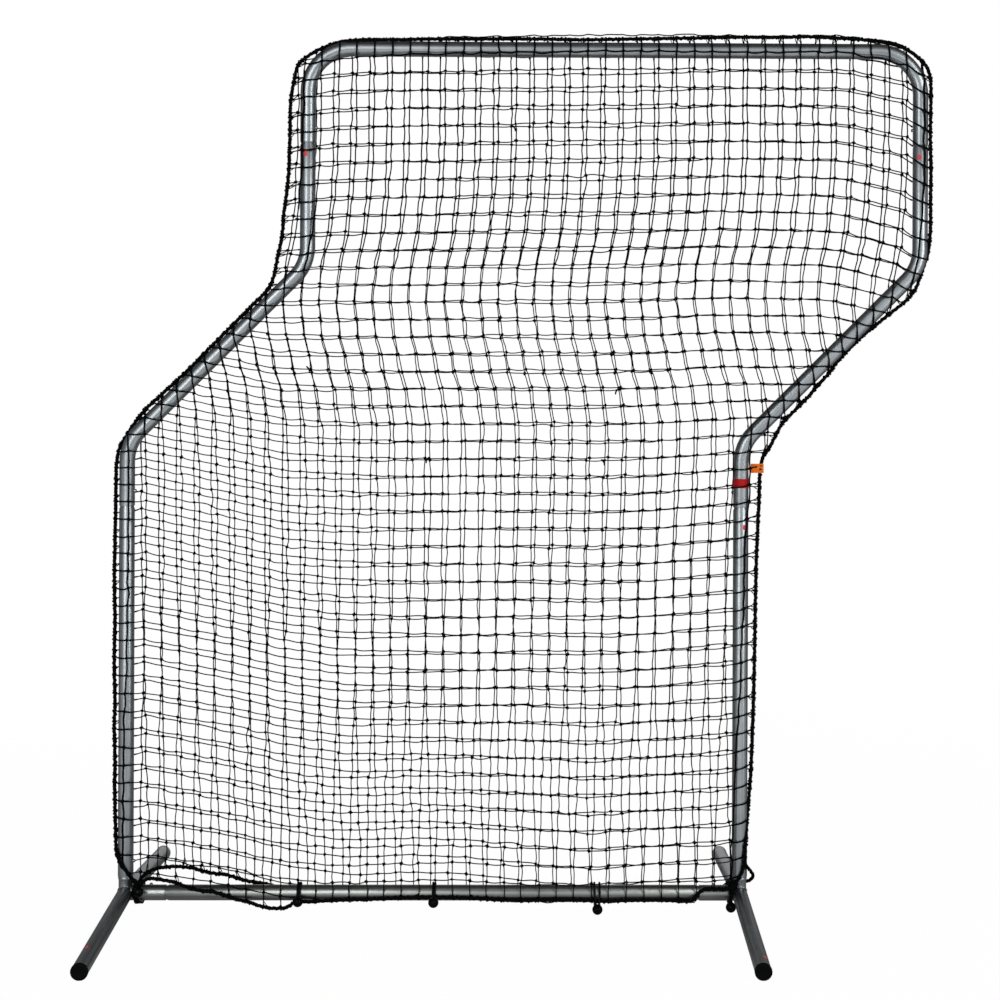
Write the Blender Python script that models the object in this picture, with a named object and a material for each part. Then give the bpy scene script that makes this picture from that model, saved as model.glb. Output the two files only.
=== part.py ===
# Baseball field screen: a Z-shaped frame of round steel tube that stands on two
# foot tubes, with a net slipped over it in a front and a back layer.
# Metres, +Z up. X runs across the screen, Y from front to back.
# The floor is at z = 0, and x = 0 is midway between the screen's two outer sides.

import math

import bmesh
import bpy
from mathutils import Matrix, Vector

# Tube stock and the fit of one tube in another
TUBE_OD = 0.0381
TUBE_WALL = 0.00165
SLIP_GAP = 0.0003
SEAT_GAP = 0.0003
TUBE_SIDES = 16

# Frame, measured between tube axes
POST_SPACING = 1.524
FRAME_RISE = 2.0955
UPPER_OFFSET = 0.4445
SLANT_MIDDLE_RISE = 1.3365
SLANT_ANGLE = math.radians(45.0)
BEND_RADIUS = 0.108
BEND_STEPS = 3

# Couplings: where each joint line lies over the crossbar axis, under the lower
# elbow's corner and under the top bar's axis
BASE_SEAM_RISE = 0.0420
ELBOW_SEAM_DROP = 0.15425
TOP_SEAM_DROP = 0.2325
SOCKET_LENGTH = 0.1000
ENGAGEMENT = 0.0620
NECK_LENGTH = 0.0040
SHOULDER_LENGTH = 0.0040
STOP_BEAD_RISE = 0.0013
STOP_BEAD_WIDTH = 0.0090

# Foot tubes, which droop from the middle to both ends
FOOT_HALF_LENGTH = 0.4520
FOOT_DROOP = math.radians(4.33)
FOOT_BEND_RADIUS = 0.2500
WELD_RADIUS = 0.0021

# End caps: a head over the end of the foot tube and a hollow plug inside it
CAP_OVERHANG = 0.00095
CAP_HEAD = 0.0085
CAP_EDGE_RADIUS = 0.0030
CAP_SOLE_DEPTH = 0.0011
PLUG_DEPTH = 0.0220
PLUG_WALL = 0.0020

# Snap buttons and the V springs that hold them out
BUTTON_TO_SEAM = 0.0365
BUTTON_RADIUS = 0.0039
BUTTON_HOLE_RADIUS = 0.0042
BUTTON_PROUD = 0.0050
BUTTON_CROWN = 0.0024
FLANGE_RADIUS = 0.0058
FLANGE_THICKNESS = 0.0012
SPRING_WIDTH = 0.0090
SPRING_THICKNESS = 0.0007
SPRING_LENGTH = 0.0480
SPRING_HEEL = 0.0090
SPRING_BEND_RADIUS = 0.0030

# Net, two flat layers in three stretched fields each
NET_CORD = 0.0030
NET_CLEARANCE = 0.00095
NET_OVERHANG = 0.0290
NET_COLUMNS = 11
LOWER_ROW_COUNT = 6
SLANTED_ROW_COUNT = 2
UPPER_ROW_COUNT = 3
FIELD_GAP = 0.0004

# How far the hem ropes lie under the crossbar axis, how far the net rises over its
# straight hem at the columns next to both corners, and the same at the top
HEM_DROP = 0.0145
FRONT_RISES = {0: 0.068, 1: 0.050, 2: 0.014, 10: 0.030, 11: 0.104}
BACK_RISES = {0: 0.068, 1: 0.074, 2: 0.056, 10: 0.012, 11: 0.068}
TOP_RISES = {0: -0.075, 11: -0.075}

# Ropes and elastic ties
ROPE_DIAMETER = 0.0085
ROPE_STEP = 0.250
LASHING_DIAMETER = 0.0084
LASHING_TURNS = 2
LASHING_START = 0.0280
LASHING_PITCH = 0.0090
LASHING_POINTS = 14
TIE_CORD_DIAMETER = 0.0040
TIE_STRAND_SPACING = 0.0080
TIE_POINTS = 10
TIE_GAP = 0.0019
BALL_DIAMETER = 0.0255

# Band of tape on the right post and cloth tag on the border rope
TAPE_OVER_SEAM = 0.0600
TAPE_WIDTH = 0.0230
TAPE_THICKNESS = 0.0005
TAPE_GAP = 0.00015
TAG_WIDTH = 0.0320
TAG_HEIGHT = 0.0230
TAG_THICKNESS = 0.0010
TAG_OFFSET = 0.0400
TAG_OVER_SEAM = 0.0970

TUBE_RADIUS = TUBE_OD / 2
SPIGOT_RADIUS = TUBE_RADIUS - TUBE_WALL - SLIP_GAP
SPIGOT_BORE = SPIGOT_RADIUS - TUBE_WALL
CAP_RADIUS = TUBE_RADIUS + CAP_OVERHANG
ROPE_RADIUS = ROPE_DIAMETER / 2
BALL_RADIUS = BALL_DIAMETER / 2
TIE_CORD_RADIUS = TIE_CORD_DIAMETER / 2
LASHING_RADIUS = LASHING_DIAMETER / 2
FOOT_DROP = FOOT_HALF_LENGTH * math.tan(FOOT_DROOP)

# Height of the crossbar axis over the floor, worked out from the caps that it stands on
CAP_REACH = (SEAT_GAP + CAP_HEAD) * math.sin(FOOT_DROOP) + CAP_RADIUS * math.cos(FOOT_DROOP)
AXIS_HEIGHT = FOOT_DROP + CAP_REACH - CAP_SOLE_DEPTH

# Post axes in X
LOWER_LEFT = -(POST_SPACING + UPPER_OFFSET) / 2
LOWER_RIGHT = LOWER_LEFT + POST_SPACING
UPPER_LEFT = LOWER_LEFT + UPPER_OFFSET
UPPER_RIGHT = LOWER_RIGHT + UPPER_OFFSET

# Corner points of the slanted run
SLANT_RISE = UPPER_OFFSET * math.tan(SLANT_ANGLE)
LOWER_ELBOW = AXIS_HEIGHT + SLANT_MIDDLE_RISE - SLANT_RISE / 2
UPPER_ELBOW = AXIS_HEIGHT + SLANT_MIDDLE_RISE + SLANT_RISE / 2
TOP_AXIS = AXIS_HEIGHT + FRAME_RISE

BASE_SEAM = AXIS_HEIGHT + BASE_SEAM_RISE
ELBOW_SEAM = LOWER_ELBOW - ELBOW_SEAM_DROP
TOP_SEAM = TOP_AXIS - TOP_SEAM_DROP

NET_DEPTH = TUBE_RADIUS + NET_CLEARANCE + NET_CORD / 2
TIE_RING_RADIUS = TUBE_RADIUS + TIE_GAP + ROPE_DIAMETER + TIE_CORD_RADIUS

for old in list(bpy.data.objects):
    bpy.data.objects.remove(old, do_unlink=True)


def material(name, colour, roughness, metallic):
    """Principled material of one colour."""
    made = bpy.data.materials.new(name)
    made.use_nodes = True
    shader = made.node_tree.nodes["Principled BSDF"]
    shader.inputs["Base Color"].default_value = (*colour, 1.0)
    shader.inputs["Roughness"].default_value = roughness
    shader.inputs["Metallic"].default_value = metallic
    made.diffuse_color = (*colour, 1.0)
    return made


TUBE_COLOUR = (0.46, 0.48, 0.49)
FOOT_COLOUR = (0.34, 0.35, 0.36)
STEEL_COLOUR = (0.62, 0.63, 0.64)
BLACK = (0.012, 0.012, 0.013)
CAP_GREY = (0.30, 0.30, 0.31)
TAPE_RED = (0.16, 0.02, 0.02)
TAG_ORANGE = (0.80, 0.22, 0.04)


def add_object(name, mesh, colour, roughness, metallic):
    """Named object with its own material, shaded smooth but for its sharp edges."""
    made = bpy.data.objects.new(name, mesh)
    bpy.context.collection.objects.link(made)
    mesh.materials.clear()
    mesh.materials.append(material(name, colour, roughness, metallic))
    mesh.shade_smooth()
    mesh.set_sharp_from_angle(angle=math.radians(40.0))
    return made


def add_cutter(name, mesh):
    """Guide shape that only cuts other pieces."""
    made = bpy.data.objects.new(name, mesh)
    bpy.context.collection.objects.link(made)
    made.hide_render = True
    made.display_type = "WIRE"
    return made


def cut(target, cutter, operation="DIFFERENCE"):
    """Boolean of one piece by another."""
    boolean = target.modifiers.new(cutter.name, "BOOLEAN")
    boolean.operation = operation
    boolean.solver = "EXACT"
    boolean.object = cutter


def swept_mesh(points, radii, sides, closed_ring=False, capped=False):
    """Round section carried along points, one radius for each point."""
    curve = bpy.data.curves.new("sweep", "CURVE")
    curve.dimensions = "3D"
    curve.bevel_depth = 1.0
    curve.bevel_resolution = (sides - 4) // 2
    curve.use_fill_caps = capped
    spline = curve.splines.new("POLY")
    spline.points.add(len(points) - 1)
    for target, place, radius in zip(spline.points, points, radii):
        target.co = (*place, 1.0)
        target.radius = radius
    spline.use_cyclic_u = closed_ring
    carrier = bpy.data.objects.new("sweep", curve)
    bpy.context.collection.objects.link(carrier)
    graph = bpy.context.evaluated_depsgraph_get()
    mesh = bpy.data.meshes.new_from_object(carrier.evaluated_get(graph))
    bpy.data.objects.remove(carrier)
    bpy.data.curves.remove(curve)
    shape = bmesh.new()
    shape.from_mesh(mesh)
    bmesh.ops.remove_doubles(shape, verts=shape.verts, dist=1e-6)
    bmesh.ops.recalc_face_normals(shape, faces=shape.faces)
    shape.to_mesh(mesh)
    shape.free()
    return mesh


def rounded_path(corners, bend_radius, steps):
    """Straight runs joined by arcs: the points of a bent tube's axis."""
    corners = [Vector(corner) for corner in corners]
    path = [corners[0]]
    for before, corner, after in zip(corners, corners[1:], corners[2:]):
        inward = (before - corner).normalized()
        outward = (after - corner).normalized()
        turn = math.pi - inward.angle(outward)
        setback = bend_radius * math.tan(turn / 2)
        centre = corner + (inward + outward).normalized() * bend_radius / math.cos(turn / 2)
        start = corner + inward * setback - centre
        axis = start.cross(corner + outward * setback - centre).normalized()
        for step in range(steps + 1):
            path.append(centre + Matrix.Rotation(turn * step / steps, 3, axis) @ start)
    path.append(corners[-1])
    return path


def hollow_tube(name, points, radii, colour, roughness=0.32):
    """Open-ended tube whose wall grows inwards from its outer radii."""
    made = add_object(name, swept_mesh(points, radii, TUBE_SIDES), colour, roughness, 0.85)
    wall = made.modifiers.new("wall", "SOLIDIFY")
    wall.thickness = TUBE_WALL
    wall.offset = -1.0
    wall.use_even_offset = True
    wall.use_rim = True
    return made


def turned_mesh(profile, sides):
    """Profile of (radius, height) points turned about Z, listed from top to bottom on its outer side."""
    mesh = bpy.data.meshes.new("turned")
    shape = bmesh.new()
    verts = [shape.verts.new((radius, 0.0, height)) for radius, height in profile]
    closed = all(radius > 0.0 for radius, height in profile)
    pairs = list(zip(verts, verts[1:]))
    if closed:
        pairs.append((verts[-1], verts[0]))
    edges = [shape.edges.new(pair) for pair in pairs]
    bmesh.ops.spin(
        shape,
        geom=verts + edges,
        cent=(0.0, 0.0, 0.0),
        axis=(0.0, 0.0, 1.0),
        angle=2 * math.pi,
        steps=sides,
        use_duplicate=False,
    )
    bmesh.ops.remove_doubles(shape, verts=shape.verts, dist=1e-6)
    bmesh.ops.recalc_face_normals(shape, faces=shape.faces)
    shape.to_mesh(mesh)
    shape.free()
    return mesh


def quarter(centre_radius, centre_height, radius, start, end, steps):
    """Points of an arc in a turned profile, angles in degrees from the outward direction."""
    points = []
    for step in range(steps + 1):
        angle = math.radians(start + (end - start) * step / steps)
        points.append((centre_radius + radius * math.cos(angle), centre_height + radius * math.sin(angle)))
    return points


def aim(made, place, outward, along):
    """Puts a piece at place with its Z along outward and its X along along."""
    z_axis = Vector(outward).normalized()
    x_axis = Vector(along).normalized()
    y_axis = z_axis.cross(x_axis)
    turn = Matrix((x_axis, y_axis, z_axis)).transposed()
    made.matrix_world = Matrix.Translation(place) @ turn.to_4x4()


# Foot tubes


def foot_path(post_x):
    """Axis of one foot tube, from its front end to its rear end."""
    ends = [
        (post_x, -FOOT_HALF_LENGTH, AXIS_HEIGHT - FOOT_DROP),
        (post_x, 0.0, AXIS_HEIGHT),
        (post_x, FOOT_HALF_LENGTH, AXIS_HEIGHT - FOOT_DROP),
    ]
    return rounded_path(ends, FOOT_BEND_RADIUS, 4)


def foot_tube(side, post_x):
    path = foot_path(post_x)
    return hollow_tube("foot_tube_" + side, path, [TUBE_RADIUS] * len(path), FOOT_COLOUR, 0.4)


def foot_cutter(side, post_x):
    """Foot tube filled and one seat gap larger, for coping what is welded to it."""
    path = foot_path(post_x)
    mesh = swept_mesh(path, [TUBE_RADIUS + SEAT_GAP] * len(path), TUBE_SIDES, capped=True)
    return add_cutter("foot_space_" + side, mesh)


def end_cap(name, post_x, sign, floor, colour):
    """Push-in cap: a head with a flat worn sole and a hollow plug."""
    plug = SPIGOT_RADIUS
    top = SEAT_GAP + CAP_HEAD
    profile = [(0.0, top)]
    profile += reversed(quarter(CAP_RADIUS - CAP_EDGE_RADIUS, top - CAP_EDGE_RADIUS, CAP_EDGE_RADIUS, 0, 90, 3))
    profile += [(CAP_RADIUS, SEAT_GAP), (plug, SEAT_GAP), (plug, -PLUG_DEPTH)]
    profile += [(plug - PLUG_WALL, -PLUG_DEPTH), (plug - PLUG_WALL, SEAT_GAP), (0.0, SEAT_GAP)]
    made = add_object(name, turned_mesh(profile, TUBE_SIDES), colour, 0.5, 0.0)
    outward = (0.0, sign * math.cos(FOOT_DROOP), -math.sin(FOOT_DROOP))
    aim(made, (post_x, sign * FOOT_HALF_LENGTH, AXIS_HEIGHT - FOOT_DROP), outward, (1.0, 0.0, 0.0))
    cut(made, floor)
    return made


def floor_cutter():
    """Block under the floor, which leaves a flat sole on each cap."""
    mesh = bpy.data.meshes.new("floor")
    shape = bmesh.new()
    bmesh.ops.create_cube(shape, size=1.0)
    bmesh.ops.scale(shape, verts=shape.verts, vec=(POST_SPACING * 2, FOOT_HALF_LENGTH * 3, 0.1))
    bmesh.ops.translate(shape, verts=shape.verts, vec=(0.0, 0.0, -0.05))
    shape.to_mesh(mesh)
    shape.free()
    return add_cutter("floor_space", mesh)


# Upright spigot and crossbar socket, welded to each foot tube


def base_spigot(side, post_x, foot_space):
    """Upright stub that the lower post slips over, with a rolled stop bead and a weld at its foot."""
    bead_low = BASE_SEAM - SEAT_GAP - STOP_BEAD_WIDTH
    bead = []
    for step in range(5):
        share = step / 4
        rise = STOP_BEAD_RISE * math.sin(math.pi * share)
        bead.append((SPIGOT_RADIUS + rise, bead_low + STOP_BEAD_WIDTH * (1 - share)))
    top = BASE_SEAM + ENGAGEMENT
    profile = [(SPIGOT_RADIUS, top)] + bead
    profile += [(SPIGOT_RADIUS, AXIS_HEIGHT), (SPIGOT_BORE, AXIS_HEIGHT), (SPIGOT_BORE, top)]
    made = add_object("base_spigot_" + side, turned_mesh(profile, TUBE_SIDES), TUBE_COLOUR, 0.32, 0.85)
    made.location = (post_x, 0.0, 0.0)
    cut(made, weld_ring(side, post_x), "UNION")
    cut(made, foot_space)
    return made


def weld_ring(side, post_x):
    """Bead of weld that follows the saddle where the spigot meets the foot tube."""
    reach = SPIGOT_RADIUS + WELD_RADIUS * 0.4
    saddle = TUBE_RADIUS + WELD_RADIUS * 0.4
    steps = 20
    points = []
    for step in range(steps):
        angle = 2 * math.pi * step / steps
        across = reach * math.cos(angle)
        points.append((post_x + across, reach * math.sin(angle), AXIS_HEIGHT + math.sqrt(saddle**2 - across**2)))
    mesh = swept_mesh(points, [WELD_RADIUS] * steps, 6, closed_ring=True)
    return add_cutter("weld_" + side, mesh)


def crossbar_socket(side, post_x, sign, foot_space):
    """Horizontal stub that takes the crossbar's end, coped round the foot tube and the spigot."""
    points = [(post_x, 0.0, AXIS_HEIGHT), (post_x + sign * SOCKET_LENGTH, 0.0, AXIS_HEIGHT)]
    made = hollow_tube("crossbar_socket_" + side, points, [TUBE_RADIUS] * 2, TUBE_COLOUR)
    cut(made, foot_space)
    clear_radius = SPIGOT_RADIUS + WELD_RADIUS * 1.4 + SEAT_GAP
    height = TUBE_OD
    shaft = [(0.0, height), (clear_radius, height), (clear_radius, -height), (0.0, -height)]
    spigot_space = add_cutter("spigot_space_" + side, turned_mesh(shaft, TUBE_SIDES))
    spigot_space.location = (post_x, 0.0, AXIS_HEIGHT + height / 2)
    cut(made, spigot_space)
    return made


# Posts, side bends, top arch and crossbar


def male_end(points, radii, seam, along):
    """Adds the neck, the shoulder and the swaged end of a tube that enters the next one."""
    along = Vector(along)
    seam = Vector(seam)
    points += [
        seam - along * (NECK_LENGTH + SHOULDER_LENGTH),
        seam - along * NECK_LENGTH,
        seam + along * ENGAGEMENT,
    ]
    radii += [TUBE_RADIUS, SPIGOT_RADIUS, SPIGOT_RADIUS]


def lower_post(side, post_x):
    points = [Vector((post_x, 0.0, BASE_SEAM))]
    radii = [TUBE_RADIUS]
    male_end(points, radii, (post_x, 0.0, ELBOW_SEAM), (0.0, 0.0, 1.0))
    return hollow_tube("lower_post_" + side, points, radii, TUBE_COLOUR)


def side_bend(side, lower_x, upper_x):
    """Double-bent tube that carries the screen's edge across from a lower post to the top arch."""
    corners = [
        (lower_x, 0.0, ELBOW_SEAM),
        (lower_x, 0.0, LOWER_ELBOW),
        (upper_x, 0.0, UPPER_ELBOW),
        (upper_x, 0.0, TOP_SEAM - NECK_LENGTH - SHOULDER_LENGTH * 2),
    ]
    points = rounded_path(corners, BEND_RADIUS, BEND_STEPS)
    radii = [TUBE_RADIUS] * len(points)
    male_end(points, radii, (upper_x, 0.0, TOP_SEAM), (0.0, 0.0, 1.0))
    return hollow_tube("side_bend_" + side, points, radii, TUBE_COLOUR)


def top_arch():
    corners = [
        (UPPER_LEFT, 0.0, TOP_SEAM),
        (UPPER_LEFT, 0.0, TOP_AXIS),
        (UPPER_RIGHT, 0.0, TOP_AXIS),
        (UPPER_RIGHT, 0.0, TOP_SEAM),
    ]
    points = rounded_path(corners, BEND_RADIUS, BEND_STEPS * 2)
    return hollow_tube("top_arch", points, [TUBE_RADIUS] * len(points), TUBE_COLOUR)


def crossbar():
    left_seam = Vector((LOWER_LEFT + SOCKET_LENGTH, 0.0, AXIS_HEIGHT))
    right_seam = Vector((LOWER_RIGHT - SOCKET_LENGTH, 0.0, AXIS_HEIGHT))
    points = []
    radii = []
    male_end(points, radii, left_seam, (-1.0, 0.0, 0.0))
    points.reverse()
    radii.reverse()
    male_end(points, radii, right_seam, (1.0, 0.0, 0.0))
    return hollow_tube("crossbar", points, radii, TUBE_COLOUR)


# Snap buttons


def coupling_list():
    """Every coupling: name, button place on the tube axis, the way it points, and the way to the tube's body."""
    couplings = []
    levels = [
        ("base", BASE_SEAM, LOWER_LEFT, LOWER_RIGHT),
        ("elbow", ELBOW_SEAM, LOWER_LEFT, LOWER_RIGHT),
        ("top", TOP_SEAM, UPPER_LEFT, UPPER_RIGHT),
    ]
    for level, seam, left_x, right_x in levels:
        height = seam + BUTTON_TO_SEAM
        couplings.append((level + "_left", (left_x, 0.0, height), (1.0, 0.0, 0.0), (0.0, 0.0, -1.0)))
        couplings.append((level + "_right", (right_x, 0.0, height), (-1.0, 0.0, 0.0), (0.0, 0.0, -1.0)))
    inset = SOCKET_LENGTH - BUTTON_TO_SEAM
    left_place = (LOWER_LEFT + inset, 0.0, AXIS_HEIGHT)
    right_place = (LOWER_RIGHT - inset, 0.0, AXIS_HEIGHT)
    couplings.append(("bar_left", left_place, (0.0, 0.0, 1.0), (1.0, 0.0, 0.0)))
    couplings.append(("bar_right", right_place, (0.0, 0.0, 1.0), (-1.0, 0.0, 0.0)))
    return couplings


FLANGE_TOP = math.sqrt(SPIGOT_BORE**2 - FLANGE_RADIUS**2) - SEAT_GAP
BUTTON_TIP = TUBE_RADIUS + BUTTON_PROUD


def snap_button(name, place, outward, along):
    """Domed button with a flange inside the tube. It sinks along its own axis."""
    crown = []
    for step in range(4):
        angle = math.radians(90.0 - 30.0 * step)
        crown.append((BUTTON_RADIUS * math.cos(angle), BUTTON_TIP - BUTTON_CROWN * (1 - math.sin(angle))))
    crown[0] = (0.0, BUTTON_TIP)
    profile = crown + [
        (BUTTON_RADIUS, FLANGE_TOP),
        (FLANGE_RADIUS, FLANGE_TOP),
        (FLANGE_RADIUS, FLANGE_TOP - FLANGE_THICKNESS),
        (0.0, FLANGE_TOP - FLANGE_THICKNESS),
    ]
    made = add_object("snap_button_" + name, turned_mesh(profile, 12), STEEL_COLOUR, 0.25, 1.0)
    aim(made, place, outward, along)
    return made


def button_spring(name, place, outward, along):
    """Strip bent to a V inside the tube: one leg carries the button, the other rests on the far wall."""
    half = SPRING_THICKNESS / 2
    button_leg = FLANGE_TOP - FLANGE_THICKNESS - SEAT_GAP - half
    wall_leg = -math.sqrt(SPIGOT_BORE**2 - (SPRING_WIDTH / 2) ** 2) + SEAT_GAP + half
    corners = [
        (-SPRING_HEEL, 0.0, button_leg),
        (SPRING_HEEL, 0.0, button_leg),
        (SPRING_LENGTH, 0.0, 0.0),
        (0.0, 0.0, wall_leg),
        (-SPRING_HEEL, 0.0, wall_leg),
    ]
    path = rounded_path(corners, SPRING_BEND_RADIUS, 3)
    outer = []
    inner = []
    for index, point in enumerate(path):
        before = path[max(index - 1, 0)]
        after = path[min(index + 1, len(path) - 1)]
        run = (after - before).normalized()
        side_way = Vector((-run.z, 0.0, run.x)) * half
        outer.append(point + side_way)
        inner.append(point - side_way)
    mesh = bpy.data.meshes.new(name)
    shape = bmesh.new()
    outline = outer + inner[::-1]
    face = shape.faces.new([shape.verts.new((p.x, -SPRING_WIDTH / 2, p.z)) for p in outline])
    grown = bmesh.ops.extrude_face_region(shape, geom=[face])
    moved = [item for item in grown["geom"] if isinstance(item, bmesh.types.BMVert)]
    bmesh.ops.translate(shape, verts=moved, vec=(0.0, SPRING_WIDTH, 0.0))
    bmesh.ops.recalc_face_normals(shape, faces=shape.faces)
    shape.to_mesh(mesh)
    shape.free()
    made = add_object("button_spring_" + name, mesh, STEEL_COLOUR, 0.3, 1.0)
    aim(made, place, outward, along)
    return made


def button_hole(name, place, outward, along):
    """Drill for the button's hole through the one wall that it comes out of."""
    far = TUBE_RADIUS + BUTTON_PROUD
    near = SPIGOT_BORE / 2
    shaft = [(0.0, far), (BUTTON_HOLE_RADIUS, far), (BUTTON_HOLE_RADIUS, near), (0.0, near)]
    made = add_cutter("hole_" + name, turned_mesh(shaft, 12))
    aim(made, place, outward, along)
    return made


# Net


def net_field(name, corners, rows, depth, low_rises=None, high_rises=None):
    """Flat field of net between the left and right ends of its low and high edges."""
    low_left, low_right, high_left, high_right = [Vector((x, depth, z)) for x, z in corners]
    mesh = bpy.data.meshes.new(name)
    shape = bmesh.new()
    bmesh.ops.create_grid(shape, x_segments=NET_COLUMNS, y_segments=rows, size=0.5)
    for vert in shape.verts:
        across = vert.co.x + 0.5
        up = vert.co.y + 0.5
        low = low_left.lerp(low_right, across)
        high = high_left.lerp(high_right, across)
        column = round(across * NET_COLUMNS)
        if low_rises:
            low.z += low_rises.get(column, 0.0)
        if high_rises:
            high.z += high_rises.get(column, 0.0)
        vert.co = low.lerp(high, up)
    bmesh.ops.recalc_face_normals(shape, faces=shape.faces)
    shape.to_mesh(mesh)
    shape.free()
    made = add_object(name, mesh, BLACK, 0.8, 0.0)
    strands = made.modifiers.new("strands", "WIREFRAME")
    strands.thickness = NET_CORD
    strands.use_even_offset = True
    strands.use_relative_offset = False
    strands.use_boundary = True
    strands.use_replace = True
    return made


def net_layer(layer, depth, rises):
    """One layer of the net: a lower, a slanted and an upper field, edge to edge."""
    corner_drop = NET_OVERHANG * math.tan(SLANT_ANGLE / 2)
    seam_half = (NET_CORD + FIELD_GAP) / 2
    low_left = (LOWER_LEFT - NET_OVERHANG, LOWER_ELBOW + corner_drop)
    low_right = (LOWER_RIGHT + NET_OVERHANG, LOWER_ELBOW - corner_drop)
    high_left = (UPPER_LEFT - NET_OVERHANG, UPPER_ELBOW + corner_drop)
    high_right = (UPPER_RIGHT + NET_OVERHANG, UPPER_ELBOW - corner_drop)
    hem = AXIS_HEIGHT - HEM_DROP + ROPE_RADIUS + NET_CORD / 2 + SEAT_GAP
    top = TOP_AXIS + NET_OVERHANG - ROPE_RADIUS
    lower = [(low_left[0], hem), (low_right[0], hem)]
    lower += [(x, z - seam_half) for x, z in (low_left, low_right)]
    net_field("net_" + layer + "_lower", lower, LOWER_ROW_COUNT, depth, rises)
    slanted = [(x, z + seam_half) for x, z in (low_left, low_right)]
    slanted += [(x, z - seam_half) for x, z in (high_left, high_right)]
    net_field("net_" + layer + "_slanted", slanted, SLANTED_ROW_COUNT, depth)
    upper = [(x, z + seam_half) for x, z in (high_left, high_right)]
    upper += [(high_left[0], top), (high_right[0], top)]
    net_field("net_" + layer + "_upper", upper, UPPER_ROW_COUNT, depth, high_rises=TOP_RISES)


# Ropes. Each route is a list of points chosen along the rope, as an offset from a
# post axis, a depth and a height over the crossbar axis

BORDER_LEFT = [
    (0.0300, -0.0282, 0.039),
    (0.0130, -0.0282, 0.056),
    (-0.0020, -0.0270, 0.074),
    (-0.0120, -0.0225, 0.092),
    (-0.0190, -0.0165, 0.112),
    (-0.0240, -0.0075, 0.140),
    (-0.0258, 0.0, 0.175),
    (-0.0290, 0.0, 0.240),
    (-0.0305, 0.0, 0.420),
    (-0.0300, 0.0, 0.604),
    (-0.0285, 0.0, 0.790),
    (-0.0280, 0.0, 0.962),
    (-0.0265, 0.0, 1.055),
    (-0.0235, 0.0, 1.094),
    (-0.0145, 0.0, 1.122),
    (0.0075, 0.0, 1.157),
    (0.0345, 0.0, 1.187),
    (0.1200, 0.0, 1.271),
    (0.2000, 0.0, 1.351),
    (0.2800, 0.0, 1.430),
    (0.3350, 0.0, 1.486),
    (0.3540, 0.0, 1.506),
    (0.3666, 0.0, 1.542),
    (0.3765, 0.0, 1.586),
    (0.3855, 0.0, 1.622),
    (0.3890, 0.0, 1.671),
    (0.3965, 0.0, 1.745),
    (0.4065, 0.0, 1.855),
    (0.4065, 0.0, 1.930),
    (0.4110, 0.0, 1.982),
    (0.4190, 0.0, 2.022),
    (0.4330, 0.0, 2.060),
    (0.4560, 0.0, 2.085),
    (0.4900, 0.0, 2.108),
    (0.5400, 0.0, 2.1205),
    (0.6000, 0.0, 2.1225),
    (0.9000, 0.0, 2.1225),
    (1.2500, 0.0, 2.1225),
]
BORDER_RIGHT = [
    (-0.3400, 0.0, 2.1225),
    (-0.1680, 0.0, 2.1225),
    (-0.1100, 0.0, 2.1215),
    (-0.0680, 0.0, 2.1170),
    (-0.0350, 0.0, 2.1040),
    (-0.0105, 0.0, 2.0850),
    (0.0120, 0.0, 2.0580),
    (0.0260, 0.0, 2.0300),
    (0.0300, 0.0, 1.9900),
    (0.0305, 0.0, 1.9000),
    (0.0305, 0.0, 1.7500),
    (0.0300, 0.0, 1.6400),
    (0.0270, 0.0, 1.5970),
    (0.0170, 0.0, 1.5570),
    (-0.0040, 0.0, 1.5130),
    (-0.0264, 0.0, 1.4760),
    (-0.0537, 0.0, 1.4560),
    (-0.1060, 0.0, 1.4170),
    (-0.1480, 0.0, 1.3755),
    (-0.1756, 0.0, 1.3470),
    (-0.2080, 0.0, 1.3085),
    (-0.2400, 0.0, 1.2710),
    (-0.2750, 0.0, 1.2390),
    (-0.3024, 0.0, 1.2067),
    (-0.3273, 0.0, 1.1770),
    (-0.3472, 0.0, 1.1570),
    (-0.3640, 0.0, 1.1230),
    (-0.3840, 0.0, 1.0950),
    (-0.3990, 0.0, 1.0670),
    (-0.4035, 0.0, 1.0280),
    (-0.4075, 0.0, 0.9960),
    (-0.4095, 0.0, 0.9360),
    (-0.4105, 0.0, 0.8340),
    (-0.4135, 0.0, 0.6000),
    (-0.4145, 0.0, 0.3850),
    (-0.4180, 0.0, 0.2730),
    (-0.4225, -0.0135, 0.2260),
    (-0.4300, -0.0205, 0.1860),
    (-0.4340, -0.0255, 0.1415),
    (-0.4380, -0.0282, 0.1000),
    (-0.4530, -0.0284, 0.0650),
    (-0.4730, -0.0282, 0.0420),
]
FRONT_HEM_LEFT = [
    (0.0600, -0.0245, 0.0410),
    (0.0917, -0.0245, 0.0370),
    (0.1189, -0.0245, 0.0290),
    (0.1800, -0.0245, 0.0100),
    (0.2250, -0.0245, 0.0010),
    (0.2673, -0.0245, -0.0070),
    (0.3118, -0.0215, -0.0150),
    (0.3563, -0.0170, -0.0250),
    (0.3920, -0.0175, -0.0225),
    (0.4160, -0.0197, -0.0145),
    (0.4500, -0.0197, -0.0145),
    (0.6400, -0.0197, -0.0145),
]
FRONT_HEM_RIGHT = [
    (-0.8800, -0.0197, -0.0145),
    (-0.6000, -0.0197, -0.0145),
    (-0.3000, -0.0197, -0.0145),
    (-0.1400, -0.0200, -0.0140),
    (-0.1226, -0.0225, -0.0105),
    (-0.1100, -0.0245, 0.0040),
    (-0.0940, -0.0245, 0.0165),
    (-0.0600, -0.0245, 0.0190),
]
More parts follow.
